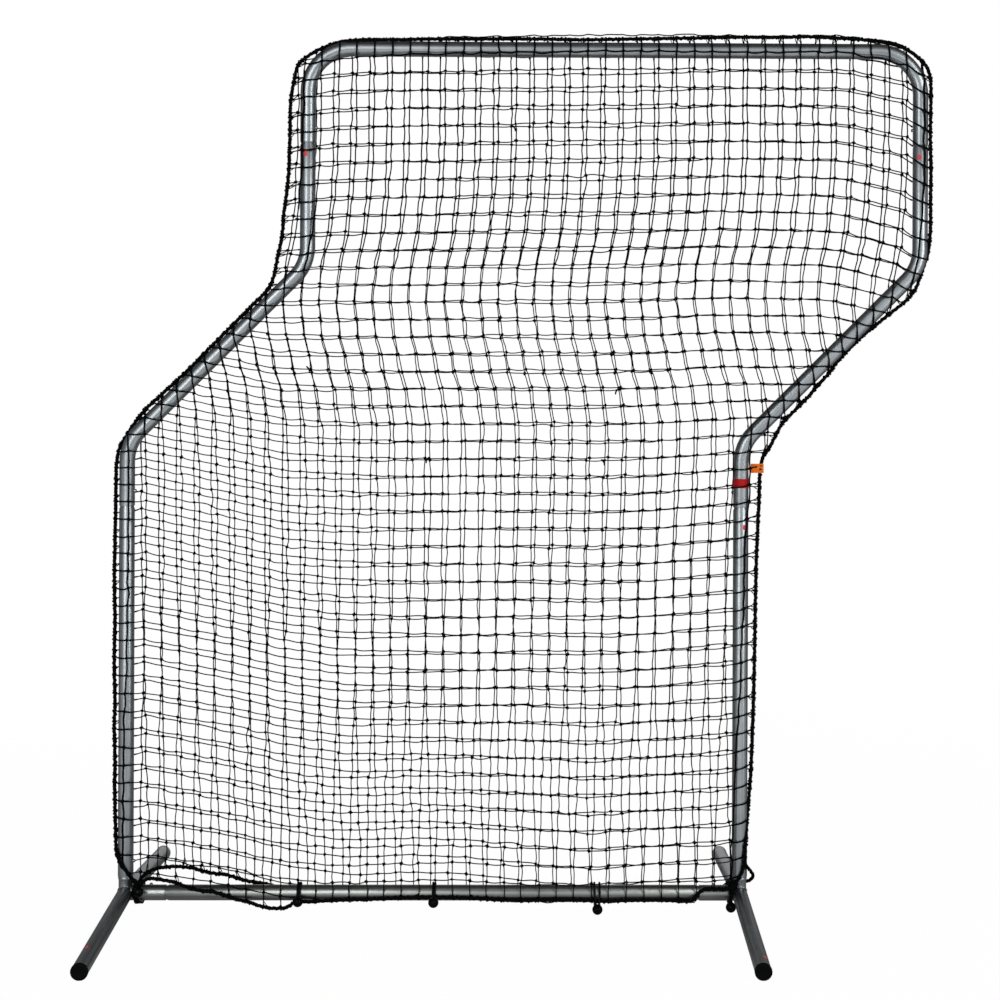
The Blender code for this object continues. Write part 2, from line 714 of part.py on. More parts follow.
REAR_HEM_LEFT = [
    (0.0600, 0.0245, 0.0480),
    (0.0900, 0.0245, 0.0520),
    (0.1300, 0.0245, 0.0540),
    (0.1700, 0.0245, 0.0490),
    (0.2130, 0.0245, 0.0420),
    (0.2700, 0.0245, 0.0290),
    (0.3200, 0.0245, 0.0095),
    (0.3600, 0.0240, -0.0055),
    (0.3950, 0.0197, -0.0145),
    (0.4300, 0.0197, -0.0145),
    (0.6400, 0.0197, -0.0145),
]
REAR_HEM_RIGHT = [
    (-0.8800, 0.0197, -0.0145),
    (-0.5000, 0.0197, -0.0145),
    (-0.3000, 0.0197, -0.0145),
    (-0.1600, 0.0197, -0.0145),
    (-0.1100, 0.0225, -0.0080),
    (-0.0600, 0.0245, 0.0050),
]


def placed(route, post_x):
    """Route points in the part's own frame."""
    return [Vector((post_x + offset, depth, AXIS_HEIGHT + rise)) for offset, depth, rise in route]


def smooth_route(route, step):
    """Points about one step apart on a smooth curve through the route's own points."""
    ends = [route[0] * 2 - route[1]] + route + [route[-1] * 2 - route[-2]]
    points = []
    for first, start, end, last in zip(ends, ends[1:], ends[2:], ends[3:]):
        pieces = max(1, math.ceil((end - start).length / step))
        for piece in range(pieces):
            share = piece / pieces
            curve = start * 2 + (end - first) * share
            curve += (first * 2 - start * 5 + end * 4 - last) * share**2
            curve += (start * 3 - first - end * 3 + last) * share**3
            points.append(curve / 2)
    points.append(route[-1])
    return points


def rope(name, route, step):
    """Round rope along a route, closed at both ends."""
    points = smooth_route(route, step)
    mesh = swept_mesh(points, [ROPE_RADIUS] * len(points), 6, capped=True)
    return add_object(name, mesh, BLACK, 0.85, 0.0)


def corner_lashing(side, post_x, sign):
    """Turns of rope round the crossbar socket that tie the net's corner down."""
    ring = (TUBE_RADIUS + SEAT_GAP + LASHING_RADIUS) / math.cos(math.pi / LASHING_POINTS)
    points = []
    for step in range(LASHING_TURNS * LASHING_POINTS + 1):
        angle = 2 * math.pi * step / LASHING_POINTS
        run = LASHING_START + LASHING_PITCH * step / LASHING_POINTS
        points.append((post_x + sign * run, -ring * math.cos(angle), AXIS_HEIGHT + ring * math.sin(angle)))
    mesh = swept_mesh(points, [LASHING_RADIUS] * len(points), 6, capped=True)
    clear = (LASHING_PITCH - LASHING_DIAMETER) * 1000
    print("corner lashing", side, "least gap between turns, mm:", round(clear, 2))
    return add_object("corner_lashing_" + side, mesh, BLACK, 0.85, 0.0)


# Ball ties: place along the crossbar from the lower left post, and the ball's
# depth and height from the crossbar's axis
BALL_TIES = [
    (0.0343, -0.0390, 0.0160),
    (0.4307, -0.0375, -0.0100),
    (0.7646, -0.0375, -0.0120),
    (1.1728, -0.0300, -0.0296),
    (1.4965, -0.0365, -0.0247),
]


def tie_ball(number, x, depth, rise):
    mesh = bpy.data.meshes.new("ball")
    shape = bmesh.new()
    bmesh.ops.create_uvsphere(shape, u_segments=14, v_segments=8, radius=BALL_RADIUS)
    shape.to_mesh(mesh)
    shape.free()
    made = add_object("tie_ball_" + str(number), mesh, BLACK, 0.25, 0.0)
    made.location = (x, depth, AXIS_HEIGHT + rise)
    return made


def tie_loop(number, x, depth, rise):
    """Elastic cord, doubled, that goes from its ball over the crossbar and comes back under it to the ball."""
    ball_angle = math.atan2(rise, -depth)
    ball_distance = math.hypot(depth, rise)
    near = BALL_RADIUS + TIE_CORD_RADIUS + SEAT_GAP
    reach = (ball_distance**2 + TIE_RING_RADIUS**2 - near**2) / (2 * ball_distance * TIE_RING_RADIUS)
    ball_side = math.acos(reach)
    half = TIE_STRAND_SPACING / 2
    bight = half / TIE_RING_RADIUS
    start = ball_angle + ball_side
    end = ball_angle + 2 * math.pi - ball_side - bight
    stations = []
    for step in range(TIE_POINTS + 1):
        stations.append((start + (end - start) * step / TIE_POINTS, -half))
    for turn in (-45.0, 0.0, 45.0):
        swing = math.radians(turn)
        stations.append((end + bight * math.cos(swing), half * math.sin(swing)))
    for step in range(TIE_POINTS, -1, -1):
        stations.append((start + (end - start) * step / TIE_POINTS, half))
    points = []
    for angle, shift in stations:
        across = -TIE_RING_RADIUS * math.cos(angle)
        points.append((x + shift, across, AXIS_HEIGHT + TIE_RING_RADIUS * math.sin(angle)))
    mesh = swept_mesh(points, [TIE_CORD_RADIUS] * len(points), 6, capped=True)
    clear = (TIE_STRAND_SPACING - TIE_CORD_DIAMETER) * 1000
    print("tie loop", number, "least gap between strands, mm:", round(clear, 2))
    return add_object("tie_loop_" + str(number), mesh, BLACK, 0.7, 0.0)


# Small trim


def tape_band():
    """Band of tape round the right lower post, just under the elbow."""
    inner = TUBE_RADIUS + TAPE_GAP
    outer = inner + TAPE_THICKNESS
    low = ELBOW_SEAM + TAPE_OVER_SEAM - TAPE_WIDTH / 2
    high = low + TAPE_WIDTH
    mesh = turned_mesh([(outer, high), (outer, low), (inner, low), (inner, high)], TUBE_SIDES)
    made = add_object("tape_band", mesh, TAPE_RED, 0.5, 0.0)
    made.location = (LOWER_RIGHT, 0.0, 0.0)
    return made


def net_tag():
    """Cloth tag held against the border rope at the right elbow."""
    mesh = bpy.data.meshes.new("net_tag")
    shape = bmesh.new()
    bmesh.ops.create_cube(shape, size=1.0)
    bmesh.ops.scale(shape, verts=shape.verts, vec=(TAG_WIDTH, TAG_THICKNESS, TAG_HEIGHT))
    shape.to_mesh(mesh)
    shape.free()
    made = add_object("net_tag", mesh, TAG_ORANGE, 0.7, 0.0)
    depth = -(ROPE_RADIUS + SEAT_GAP + TAG_THICKNESS / 2)
    made.location = (LOWER_RIGHT + TAG_OFFSET, depth, ELBOW_SEAM + TAG_OVER_SEAM)
    return made


def build():
    floor = floor_cutter()
    outer_tubes = {}
    inner_tubes = {}
    arch = top_arch()
    bar = crossbar()
    sides = [("left", LOWER_LEFT, UPPER_LEFT, 1.0), ("right", LOWER_RIGHT, UPPER_RIGHT, -1.0)]
    for side, lower_x, upper_x, sign in sides:
        foot_tube(side, lower_x)
        foot_space = foot_cutter(side, lower_x)
        end_cap("end_cap_front_" + side, lower_x, -1.0, floor, BLACK)
        end_cap("end_cap_rear_" + side, lower_x, 1.0, floor, CAP_GREY)
        spigot = base_spigot(side, lower_x, foot_space)
        socket = crossbar_socket(side, lower_x, sign, foot_space)
        post = lower_post(side, lower_x)
        bend = side_bend(side, lower_x, upper_x)
        outer_tubes["base_" + side] = post
        inner_tubes["base_" + side] = spigot
        outer_tubes["elbow_" + side] = bend
        inner_tubes["elbow_" + side] = post
        outer_tubes["top_" + side] = arch
        inner_tubes["top_" + side] = bend
        outer_tubes["bar_" + side] = socket
        inner_tubes["bar_" + side] = bar
        corner_lashing(side, lower_x, sign)
    for name, place, outward, along in coupling_list():
        hole = button_hole(name, place, outward, along)
        cut(outer_tubes[name], hole)
        cut(inner_tubes[name], hole)
        snap_button(name, place, outward, along)
        button_spring(name, place, outward, along)
    net_layer("front", -NET_DEPTH, FRONT_RISES)
    net_layer("back", NET_DEPTH, BACK_RISES)
    rope("border_rope", placed(BORDER_LEFT, LOWER_LEFT) + placed(BORDER_RIGHT, UPPER_RIGHT), ROPE_STEP)
    rope("hem_rope_front", placed(FRONT_HEM_LEFT, LOWER_LEFT) + placed(FRONT_HEM_RIGHT, LOWER_RIGHT), ROPE_STEP)
    rope("hem_rope_back", placed(REAR_HEM_LEFT, LOWER_LEFT) + placed(REAR_HEM_RIGHT, LOWER_RIGHT), ROPE_STEP)
    for number, (offset, depth, rise) in enumerate(BALL_TIES, start=1):
        tie_ball(number, LOWER_LEFT + offset, depth, rise)
        tie_loop(number, LOWER_LEFT + offset, depth, rise)
    tape_band()
    net_tag()


build()
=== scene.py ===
# Baseball field screen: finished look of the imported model, with the camera, the lamps and the floor.
# Metres, +Z up. X runs across the screen, Y from front to back, the floor is at z = 0.

import random
from math import atan2, ceil, copysign, cos, degrees, hypot, pi, radians, sin, sqrt, tan

import bpy
import numpy as np
from mathutils import Matrix, Vector


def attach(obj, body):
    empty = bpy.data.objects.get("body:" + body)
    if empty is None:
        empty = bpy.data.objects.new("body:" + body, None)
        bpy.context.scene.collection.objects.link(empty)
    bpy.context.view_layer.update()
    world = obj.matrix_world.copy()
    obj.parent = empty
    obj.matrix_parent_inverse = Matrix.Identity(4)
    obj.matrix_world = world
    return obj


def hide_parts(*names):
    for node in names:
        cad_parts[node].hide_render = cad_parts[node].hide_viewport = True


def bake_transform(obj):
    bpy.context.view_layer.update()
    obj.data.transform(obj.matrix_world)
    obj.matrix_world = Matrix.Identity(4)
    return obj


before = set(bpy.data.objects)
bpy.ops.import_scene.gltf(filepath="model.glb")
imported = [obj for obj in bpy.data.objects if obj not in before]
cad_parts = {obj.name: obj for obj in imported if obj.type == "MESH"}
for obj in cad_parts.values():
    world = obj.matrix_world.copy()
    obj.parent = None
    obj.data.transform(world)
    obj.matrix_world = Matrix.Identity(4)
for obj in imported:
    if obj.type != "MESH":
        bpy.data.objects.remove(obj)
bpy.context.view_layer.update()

# Tube stock and couplings
TUBE_RADIUS = 0.01905
TUBE_WALL = 0.00165
INNER_RADIUS = 0.0171
SEAT_GAP = 0.0003
SIDES = 48
ENGAGEMENT = 0.0620
NECK_LENGTH = 0.0040
SHOULDER_LENGTH = 0.0040
BEND_RADIUS = 0.108
SOCKET_LENGTH = 0.1000
BUTTON_TO_SEAM = 0.0365
BUTTON_RADIUS = 0.0039
BUTTON_HOLE_RADIUS = 0.0042
BUTTON_TIP = 0.02405
FLANGE_TOP = 0.01402
SPRING_WIDTH = 0.0090
SPRING_THICKNESS = 0.0007
SPRING_CUT = 0.0040
# Run along the tube and height over its axis at each corner of a button's spring
SPRING_CORNERS = ((-0.0070, 0.01217), (0.0090, 0.01217), (0.0422, 0.0), (0.0, -0.01413), (-0.0090, -0.01413))

# Frame
AXIS_HEIGHT = 0.0537314
LOWER_LEFT = -0.98425
LOWER_RIGHT = 0.53975
UPPER_LEFT = -0.53975
UPPER_RIGHT = 0.98425
LOWER_ELBOW = AXIS_HEIGHT + 1.11425
UPPER_ELBOW = AXIS_HEIGHT + 1.55875
TOP_AXIS = AXIS_HEIGHT + 2.0955
BASE_SEAM = AXIS_HEIGHT + 0.0420
ELBOW_SEAM = LOWER_ELBOW - 0.15425
TOP_SEAM = TOP_AXIS - 0.2325
SLANT = radians(45.0)

# Foot tubes and the caps in their ends
FOOT_HALF_LENGTH = 0.4520
FOOT_DROOP = radians(4.33)
FOOT_BEND_RADIUS = 0.2500
FOOT_DROP = FOOT_HALF_LENGTH * tan(FOOT_DROOP)
CAP_RADIUS = 0.01994
CAP_HEAD = 0.0085
CAP_EDGE_RADIUS = 0.0030
PLUG_DEPTH = 0.0220
PLUG_WALL = 0.0020

# Net: meshes between knots, twine, and the depth of a layer that lies on the tubes
MESH_WIDTH = 0.0436
MESH_HEIGHT = 0.0436
TWINE_RADIUS = 0.00152
NET_DEPTH = 0.0204
# Extra depth close to a tube, the gap over which it ends, and the sag in the middle
NET_CLEAR = 0.0016
NET_REACH = 0.03
NET_SAG = 0.004
ROPE_RADIUS = 0.0050

# Swaged ends, the spigot's stop bead, weld beads, and the depth of drilled button holes
LEAD_IN = 0.002
LEAD_DROP = 0.0009
LEAD_RADIUS = INNER_RADIUS - LEAD_DROP
BEAD_LENGTH = 0.0090
BEAD_HEIGHT = 0.0013
WELD_RISE = 0.0008
WELD_RADIUS = 0.0021
WELD_RIPPLE = 0.22
HOLE_DEPTH = 0.02
STUB_HOLE_DEPTH = 0.014

# Room that the spigot takes in the crossbar's socket
SHAFT_RADIUS = INNER_RADIUS + 0.0033
SHAFT_LENGTH = 0.038

# Thicknesses and windings of the ropes
ROPE_STEP = 0.0055
ROPE_PITCH = 0.036
LACING_PITCH = 0.0170
KNOT_PITCH = 0.024

# Gaps to a tube's axis within which twine is drawn thicker, as a painted shadow and reflection of the twine on the
# metal, and is drawn finer, and a knot's room at the rope
TWINE_SHADOW_GAP = 0.0215
TUBE_BEND = 0.026
KNOT_ROOM = 0.006

UP = Vector((0.0, 0.0, 1.0))
OVER_X = (1.0, 0.0, 0.0)
OVER_Y = Vector((0.0, 1.0, 0.0))
WHITE = (1.0, 1.0, 1.0, 1.0)


# Shader trees


def node(tree, kind, inputs=None, output=0, **settings):
    """Adds a node, sets or links its inputs, and gives one of its outputs."""
    made = tree.nodes.new("ShaderNode" + kind)
    for name, value in settings.items():
        setattr(made, name, value)
    for key, value in (inputs or {}).items():
        if isinstance(value, bpy.types.NodeSocket):
            tree.links.new(value, made.inputs[key])
        else:
            made.inputs[key].default_value = value
    return made.outputs[output]


def grain(tree, source, scale, detail, stretch=(1.0, 1.0, 1.0)):
    """Noise on the given coordinates."""
    stretched = node(tree, "Mapping", {"Scale": stretch, "Vector": source}, "Vector")
    return node(tree, "TexNoise", {"Scale": scale, "Detail": detail, "Vector": stretched}, "Fac")


def shades(tree, factor, stops):
    """Colour ramp through the given stops."""
    colour = node(tree, "ValToRGB", {"Fac": factor}, "Color")
    elements = colour.node.color_ramp.elements
    for index, (place, tone) in ((0, stops[0]), (1, stops[-1])):
        elements[index].position = place
        elements[index].color = (*tone, 1.0)
    for place, tone in stops[1:-1]:
        elements.new(place).color = (*tone, 1.0)
    return colour


def spread(tree, value, low, high, from_low=0.3, from_high=0.7, **settings):
    """Turns a value between from_low and from_high into one between low and high."""
    limits = {"From Min": from_low, "From Max": from_high, "To Min": low, "To Max": high, "Value": value}
    return node(tree, "MapRange", limits, "Result", **settings)


def blend_colours(tree, factor, first, second, mode="MIX"):
    return node(tree, "Mix", {0: factor, 6: first, 7: second}, 2, data_type="RGBA", blend_type=mode)


def reckon(tree, kind, first, second):
    """Adds or multiplies two values and keeps the result between 0 and 1."""
    return node(tree, "Math", {0: first, 1: second}, operation=kind, use_clamp=True)


def stage_tree(owner, coordinates):
    """Empty tree of a world or floor, with its light paths, its coordinates and their parts."""
    owner.use_nodes = True
    tree = owner.node_tree
    tree.nodes.clear()
    rays = node(tree, "LightPath").node.outputs
    place = node(tree, "TexCoord", output=coordinates)
    return tree, rays, place, node(tree, "SeparateXYZ", {0: place}).node.outputs


def mirrored_rays(tree, rays, share):
    """Rays that see the scene in or through a surface, times share."""
    mirrored = reckon(tree, "ADD", rays["Is Glossy Ray"], rays["Is Transmission Ray"])
    return reckon(tree, "MULTIPLY", mirrored, share)


def end_tree(tree, kind, seen, first, second):
    """Shows the second shader where seen is 1 and the first elsewhere."""
    mixed = node(tree, "MixShader", {0: seen, 1: first, 2: second})
    tree.links.new(mixed, tree.nodes.new("ShaderNodeOutput" + kind).inputs[0])


# Camera, light and floor


def add_object(name, data):
    made = bpy.data.objects.new(name, data)
    bpy.context.collection.objects.link(made)
    return made


def place_camera():
    """Camera at the place from which the screen is seen."""
    lens = bpy.data.cameras.new("camera")
    lens.lens = 63.9
    lens.sensor_width = 36.0
    lens.shift_x = -0.0462
    lens.shift_y = -0.1616
    lens.clip_end = 60.0
    camera = add_object("camera", lens)
    camera.location = (0.00625, -4.4137, 1.4318)
    camera.rotation_euler = (radians(90.0), radians(-0.228), radians(-0.615))
    bpy.context.scene.camera = camera


def soft_lamp(name, place, aim_at, size, power):
    lamp = bpy.data.lights.new(name, "AREA")
    lamp.shape = "RECTANGLE"
    lamp.size, lamp.size_y = size
    lamp.energy = power
    holder = add_object(name, lamp)
    holder.location = place
    holder.rotation_euler = (Vector(aim_at) - Vector(place)).to_track_quat("-Z", "Y").to_euler()


ROOM_TONES = [
    (0.0, (0.36, 0.365, 0.37)), (0.08, (0.62, 0.63, 0.64)), (0.40, (0.50, 0.505, 0.51)),
    (0.62, (0.15, 0.15, 0.155)), (0.94, (0.06, 0.06, 0.06)),
]


def light_room():
    """White to the eye and straight behind the screen, grey for soft light, a dark studio for the metal."""
    world = bpy.data.worlds.new("room")
    bpy.context.scene.world = world
    tree, rays, _, split = stage_tree(world, "Generated")
    front = spread(tree, split["Y"], 1.0, 0.20, -0.93, -0.50)
    studio = blend_colours(tree, 1.0, shades(tree, split["Z"], ROOM_TONES), front, "MULTIPLY")
    tone = blend_colours(tree, rays["Is Glossy Ray"], (0.74, 0.745, 0.75, 1.0), studio)
    behind = spread(tree, split["Y"], 0.0, 1.0, 0.90, 0.98)
    seen = reckon(tree, "ADD", rays["Is Camera Ray"], mirrored_rays(tree, rays, behind))
    room = node(tree, "Background", {"Color": tone, "Strength": 1.0})
    white = node(tree, "Background", {"Color": WHITE, "Strength": 1.0})
    end_tree(tree, "World", seen, room, white)


def lay_floor():
    """Pale floor, white to the eye, that keeps the screen's shadow."""
    pick()
    bpy.ops.mesh.primitive_circle_add(vertices=96, radius=14.0, fill_type="NGON", location=(0.0, 0.0, -0.0004))
    floor = bpy.context.active_object
    floor.name = "floor"
    surface = bpy.data.materials.new("pale_floor")
    tree, rays, place, split = stage_tree(surface, "Object")
    dusky = spread(tree, split["Y"], 0.55, 0.12, -0.9, 0.0)
    tone = blend_colours(tree, rays["Is Glossy Ray"], (0.80, 0.80, 0.80, 1.0), dusky)
    away = node(tree, "VectorMath", {0: place}, "Value", operation="LENGTH")
    fading = spread(tree, away, 0.982, 1.0, 1.6, 3.6, interpolation_type="SMOOTHSTEP")
    eye = reckon(tree, "MULTIPLY", rays["Is Camera Ray"], fading)
    seen = reckon(tree, "ADD", eye, mirrored_rays(tree, rays, 0.05))
    matt = node(tree, "BsdfDiffuse", {"Color": tone})
    white = node(tree, "Emission", {"Color": WHITE, "Strength": 1.0})
    end_tree(tree, "Material", seen, matt, white)
    floor.data.materials.append(surface)


# Finishes


def finish_start(name, colour, roughness, metallic=0.0):
    """Material with its tree, its object coordinates and its shader's inputs."""
    made = bpy.data.materials.new(name)
    made.use_nodes = True
    tree = made.node_tree
    shader = tree.nodes["Principled BSDF"].inputs
    shader["Base Color"].default_value = (*colour, 1.0)
    shader["Roughness"].default_value = roughness
    shader["Metallic"].default_value = metallic
    return made, tree, node(tree, "TexCoord", output="Object"), shader


def lay_on(tree, shader, tone, height, strength, distance):
    """Links a shader's colour and its relief."""
    tree.links.new(tone, shader["Base Color"])
    bump = {"Strength": strength, "Distance": distance, "Height": height}
    tree.links.new(node(tree, "Bump", bump, "Normal"), shader["Normal"])


def worn(colour, gain):
    return tuple(min(1.0, gain * c + 0.002) for c in colour)


def zinc_finish(name, light, dark, roughness):
    """Zinc-coated tube: drawn streaks along the tube, cloudy patches and a fine grain."""
    made, tree, place, shader = finish_start(name, light, roughness, 1.0)
    along = node(tree, "Attribute", output="Vector", attribute_name="along_tube")
    streaks = grain(tree, along, 1.0, 4.0, (260.0, 260.0, 1.6))
    bright = tuple(1.12 * c for c in light)
    streaky = shades(tree, streaks, [(0.30, dark), (0.55, light), (0.80, bright)])
    clouds = [(0.30, (0.84, 0.85, 0.86)), (0.65, (1.0, 1.0, 1.0))]
    cloudy = shades(tree, grain(tree, place, 26.0, 3.0), clouds)
    tree.links.new(spread(tree, streaks, roughness - 0.05, roughness + 0.08), shader["Roughness"])
    tone = blend_colours(tree, 1.0, streaky, cloudy, "MULTIPLY")
    lay_on(tree, shader, tone, grain(tree, place, 900.0, 2.0), 0.10, 0.0004)
    return made


def fibre_finish(name, colour, roughness, scale, gloss=0.15, sheen=0.0):
    """Dyed fibre: uneven dye, pale worn hairs and a twisted relief."""
    made, tree, place, shader = finish_start(name, colour, roughness)
    hairs = grain(tree, place, scale, 4.0, (1.0, 1.0, 0.45))
    tone = shades(tree, hairs, [(0.42, colour), (0.78, worn(colour, 2.2))])
    dye = [(0.30, (0.60, 0.60, 0.60)), (0.70, (1.0, 1.0, 1.0))]
    cloudy = shades(tree, grain(tree, place, scale * 0.12, 3.0), dye)
    shader["Specular IOR Level"].default_value = gloss
    shader["Sheen Weight"].default_value = sheen
    lay_on(tree, shader, blend_colours(tree, 1.0, tone, cloudy, "MULTIPLY"), hairs, 0.4, 0.0005)
    return made


def moulded_finish(name, colour, roughness, scale, grain_depth, gloss=0.5):
    """Moulded rubber or plastic with a fine grain and slight scuffs."""
    made, tree, place, shader = finish_start(name, colour, roughness)
    scuffs = grain(tree, place, scale * 0.2, 4.0, (1.0, 0.5, 1.0))
    tree.links.new(spread(tree, scuffs, roughness - 0.06, roughness + 0.12), shader["Roughness"])
    shader["Specular IOR Level"].default_value = gloss
    tone = shades(tree, scuffs, [(0.45, colour), (0.75, worn(colour, 1.4))])
    lay_on(tree, shader, tone, grain(tree, place, scale, 2.0), grain_depth, 0.0003)
    return made


TUBE_STEEL = zinc_finish("tube_steel", (0.57, 0.61, 0.63), (0.42, 0.46, 0.48), 0.36)
FOOT_STEEL = zinc_finish("foot_steel", (0.36, 0.37, 0.38), (0.20, 0.21, 0.22), 0.36)
BAR_STEEL = zinc_finish("bar_steel", (0.61, 0.64, 0.61), (0.46, 0.49, 0.46), 0.36)
WELD_STEEL = zinc_finish("weld_steel", (0.74, 0.75, 0.76), (0.55, 0.56, 0.57), 0.28)
BUTTON_STEEL = zinc_finish("button_steel", (0.66, 0.67, 0.68), (0.50, 0.51, 0.52), 0.24)
SPRING_STEEL = zinc_finish("spring_steel", (0.52, 0.52, 0.52), (0.34, 0.34, 0.35), 0.30)
CAP_BLACK = moulded_finish("cap_black", (0.0020, 0.0020, 0.0024), 0.50, 1500.0, 0.25, 0.05)
# Rear caps: the same black moulded caps, drawn pale grey as painted light for the washed-out look at the back of the
# screen.
CAP_PAINTED_PALE = moulded_finish("cap_painted_pale", (0.30, 0.30, 0.31), 0.50, 1500.0, 0.25)
NET_TWINE = fibre_finish("net_twine", (0.0016, 0.0016, 0.0018), 0.80, 2600.0, 0.06)
ROPE_FIBRE = fibre_finish("rope_fibre", (0.0020, 0.0020, 0.0022), 0.90, 1800.0, 0.06)
LASHING_FIBRE = fibre_finish("lashing_fibre", (0.0018, 0.0018, 0.0020), 0.85, 1800.0, 0.06)
TIE_SLEEVE = fibre_finish("tie_sleeve", (0.0022, 0.0022, 0.0024), 0.70, 2400.0, 0.15)
BALL_PLASTIC = moulded_finish("ball_plastic", (0.0016, 0.0016, 0.0020), 0.12, 500.0, 0.03, 0.06)
TAPE_RED = moulded_finish("tape_red", (0.36, 0.003, 0.004), 0.34, 900.0, 0.10, 0.18)
TAG_CLOTH = fibre_finish("tag_cloth", (0.82, 0.14, 0.006), 0.80, 1600.0, 0.3, 0.1)
DOT_RED = moulded_finish("dot_red", (0.55, 0.025, 0.03), 0.35, 900.0, 0.10)


# Shop tools


def dress(piece, name, finish, replaced=None):
    """Names a piece, gives it its finish and hides the solid that it replaces."""
    piece.name = name
    piece.data.name = name
    piece.data.materials.clear()
    piece.data.materials.append(finish)
    if replaced:
        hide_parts(replaced)


def set_down(piece, name, finish, replaced=None, body="frame"):
    """Dresses a finished piece and tells which body carries it."""
    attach(piece, body)
    dress(piece, name, finish, replaced)


def pick(*pieces):
    """Selects these pieces only and makes the last of them active."""
    bpy.ops.object.select_all(action="DESELECT")
    for piece in pieces:
        piece.select_set(True)
        bpy.context.view_layer.objects.active = piece


def edit_all():
    bpy.ops.object.mode_set(mode="EDIT")
    bpy.ops.mesh.select_all(action="SELECT")


def leave_edit():
    bpy.ops.object.mode_set(mode="OBJECT")


def shade(angle=40.0):
    """Shades the selected piece smooth but for its sharp edges."""
    bpy.ops.object.shade_smooth_by_angle(angle=radians(angle))


def close_up(piece, angle=40.0):
    """Merges doubles, turns the faces outwards and shades the active piece."""
    edit_all()
    bpy.ops.mesh.remove_doubles(threshold=0.00002)
    bpy.ops.mesh.normals_make_consistent(inside=False)
    leave_edit()
    shade(angle)
    return piece


def fill_ends(piece):
    edit_all()
    bpy.ops.mesh.fill_holes(sides=0)
    leave_edit()
    return close_up(piece)


def modify(piece, kind, **settings):
    """Adds a modifier to a piece and applies it."""
    modifier = piece.modifiers.new(kind.lower(), kind)
    for name, value in settings.items():
        setattr(modifier, name, value)
    pick(piece)
    bpy.ops.object.modifier_apply(modifier=modifier.name)


def carve(piece, bit, operation="DIFFERENCE"):
    modify(piece, "BOOLEAN", operation=operation, solver="EXACT", object=bit)


def freeze():
    """Puts the selected piece's place into its mesh."""
    bpy.ops.object.transform_apply(location=True, rotation=True, scale=True)


def aim(way):
    return Vector(way).to_track_quat("Z", "Y").to_euler()


def start_ring(place, way, radius, sides=SIDES):
    """Ring of points that faces along way, left in edit mode."""
    pick()
    bpy.ops.mesh.primitive_circle_add(vertices=sides, radius=radius, location=place, rotation=aim(way))
    freeze()
    edit_all()
    return bpy.context.active_object


def draw_tube(place, way, radius, moves, sides=SIDES):
    """Tube drawn from a ring by runs, bends and changes of radius. Also gives its axis's points."""
    place = Vector(place)
    way = Vector(way).normalized()
    piece = start_ring(place, way, radius, sides)
    axis_points = [place.copy()]
    for kind, amount, detail in moves:
        if kind == "run":
            bpy.ops.mesh.extrude_region_move(TRANSFORM_OT_translate={"value": way * amount})
            place = place + way * amount
            if detail and detail != radius:
                factor = detail / radius
                bpy.ops.transform.resize(value=(factor, factor, factor), center_override=place)
                radius = detail
            axis_points.append(place.copy())
        else:
            bend_radius, hinge = detail
            hinge = Vector(hinge)
            sign = copysign(1.0, amount)
            centre = place + hinge.cross(way) * bend_radius * sign
            steps = max(2, round(abs(degrees(amount)) / 7.5))
            bpy.ops.mesh.spin(steps=steps, angle=-amount, center=centre, axis=hinge)
            turn = Matrix.Rotation(amount / steps, 3, hinge)
            for step in range(steps):
                place = centre + turn @ (place - centre)
                axis_points.append(place.copy())
            way = Matrix.Rotation(amount, 3, hinge) @ way
    leave_edit()
    return piece, axis_points


def tube_wall(piece, thickness=TUBE_WALL):
    """Gives a drawn tube its wall, inwards."""
    close_up(piece)
    modify(piece, "SOLIDIFY", thickness=thickness, offset=-1.0, use_even_offset=True, use_rim=True)
    shade()


def drill(piece, place, way, depth=HOLE_DEPTH):
    """Drills a button's hole through the wall at place."""
    pick()
    bpy.ops.mesh.primitive_cylinder_add(
        vertices=24, radius=BUTTON_HOLE_RADIUS, depth=depth, location=place, rotation=aim(way)
    )
    bit = bpy.context.active_object
    carve(piece, bit)
    bpy.data.objects.remove(bit)
    shade()


def cope(piece, bit):
    """Cuts a welded tube to the shape of the tube that it meets."""
    carve(piece, bit)
    shade()


def vertex_places(piece):
    places = np.empty(len(piece.data.vertices) * 3)
    piece.data.vertices.foreach_get("co", places)
    return places.reshape(-1, 3)


def mark_along(piece, axis_points):
    """Stores for each point its place across the tube and its run along it, for the drawn streaks."""
    starts = np.array([p[:] for p in axis_points[:-1]])
    ends = np.array([p[:] for p in axis_points[1:]])
    runs = ends - starts
    lengths = np.linalg.norm(runs, axis=1)
    before = np.concatenate(([0.0], np.cumsum(lengths)))[:-1]
    spots = vertex_places(piece)
    gap = spots[:, None, :] - starts[None, :, :]
    share = np.clip((gap * runs).sum(2) / np.maximum(lengths**2, 1e-12), 0.0, 1.0)
    feet = starts[None] + share[:, :, None] * runs[None]
    away = np.linalg.norm(spots[:, None, :] - feet, axis=2)
    best = away.argmin(axis=1)
    index = np.arange(len(spots))
    offset = spots - feet[index, best]
    way = runs[best] / lengths[best][:, None]
    side = np.cross(way, np.array([0.0, 1.0, 0.0]))
    flat = np.linalg.norm(side, axis=1) < 0.2
    side[flat] = np.array([1.0, 0.0, 0.0])
    side = side / np.linalg.norm(side, axis=1)[:, None]
    other = np.cross(way, side)
    along = before[best] + share[index, best] * lengths[best]
    marks = np.stack(((offset * side).sum(1), (offset * other).sum(1), along), 1)
    layer = piece.data.attributes.new("along_tube", "FLOAT_VECTOR", "POINT")
    layer.data.foreach_set("vector", marks.astype(np.float32).ravel())


# Frame


def male_moves():
    """Neck, shoulder and swaged end of a tube that enters the next one."""
    return [
        ("run", SHOULDER_LENGTH, INNER_RADIUS),
        ("run", NECK_LENGTH + ENGAGEMENT - LEAD_IN, INNER_RADIUS),
        ("run", LEAD_IN, LEAD_RADIUS),
    ]


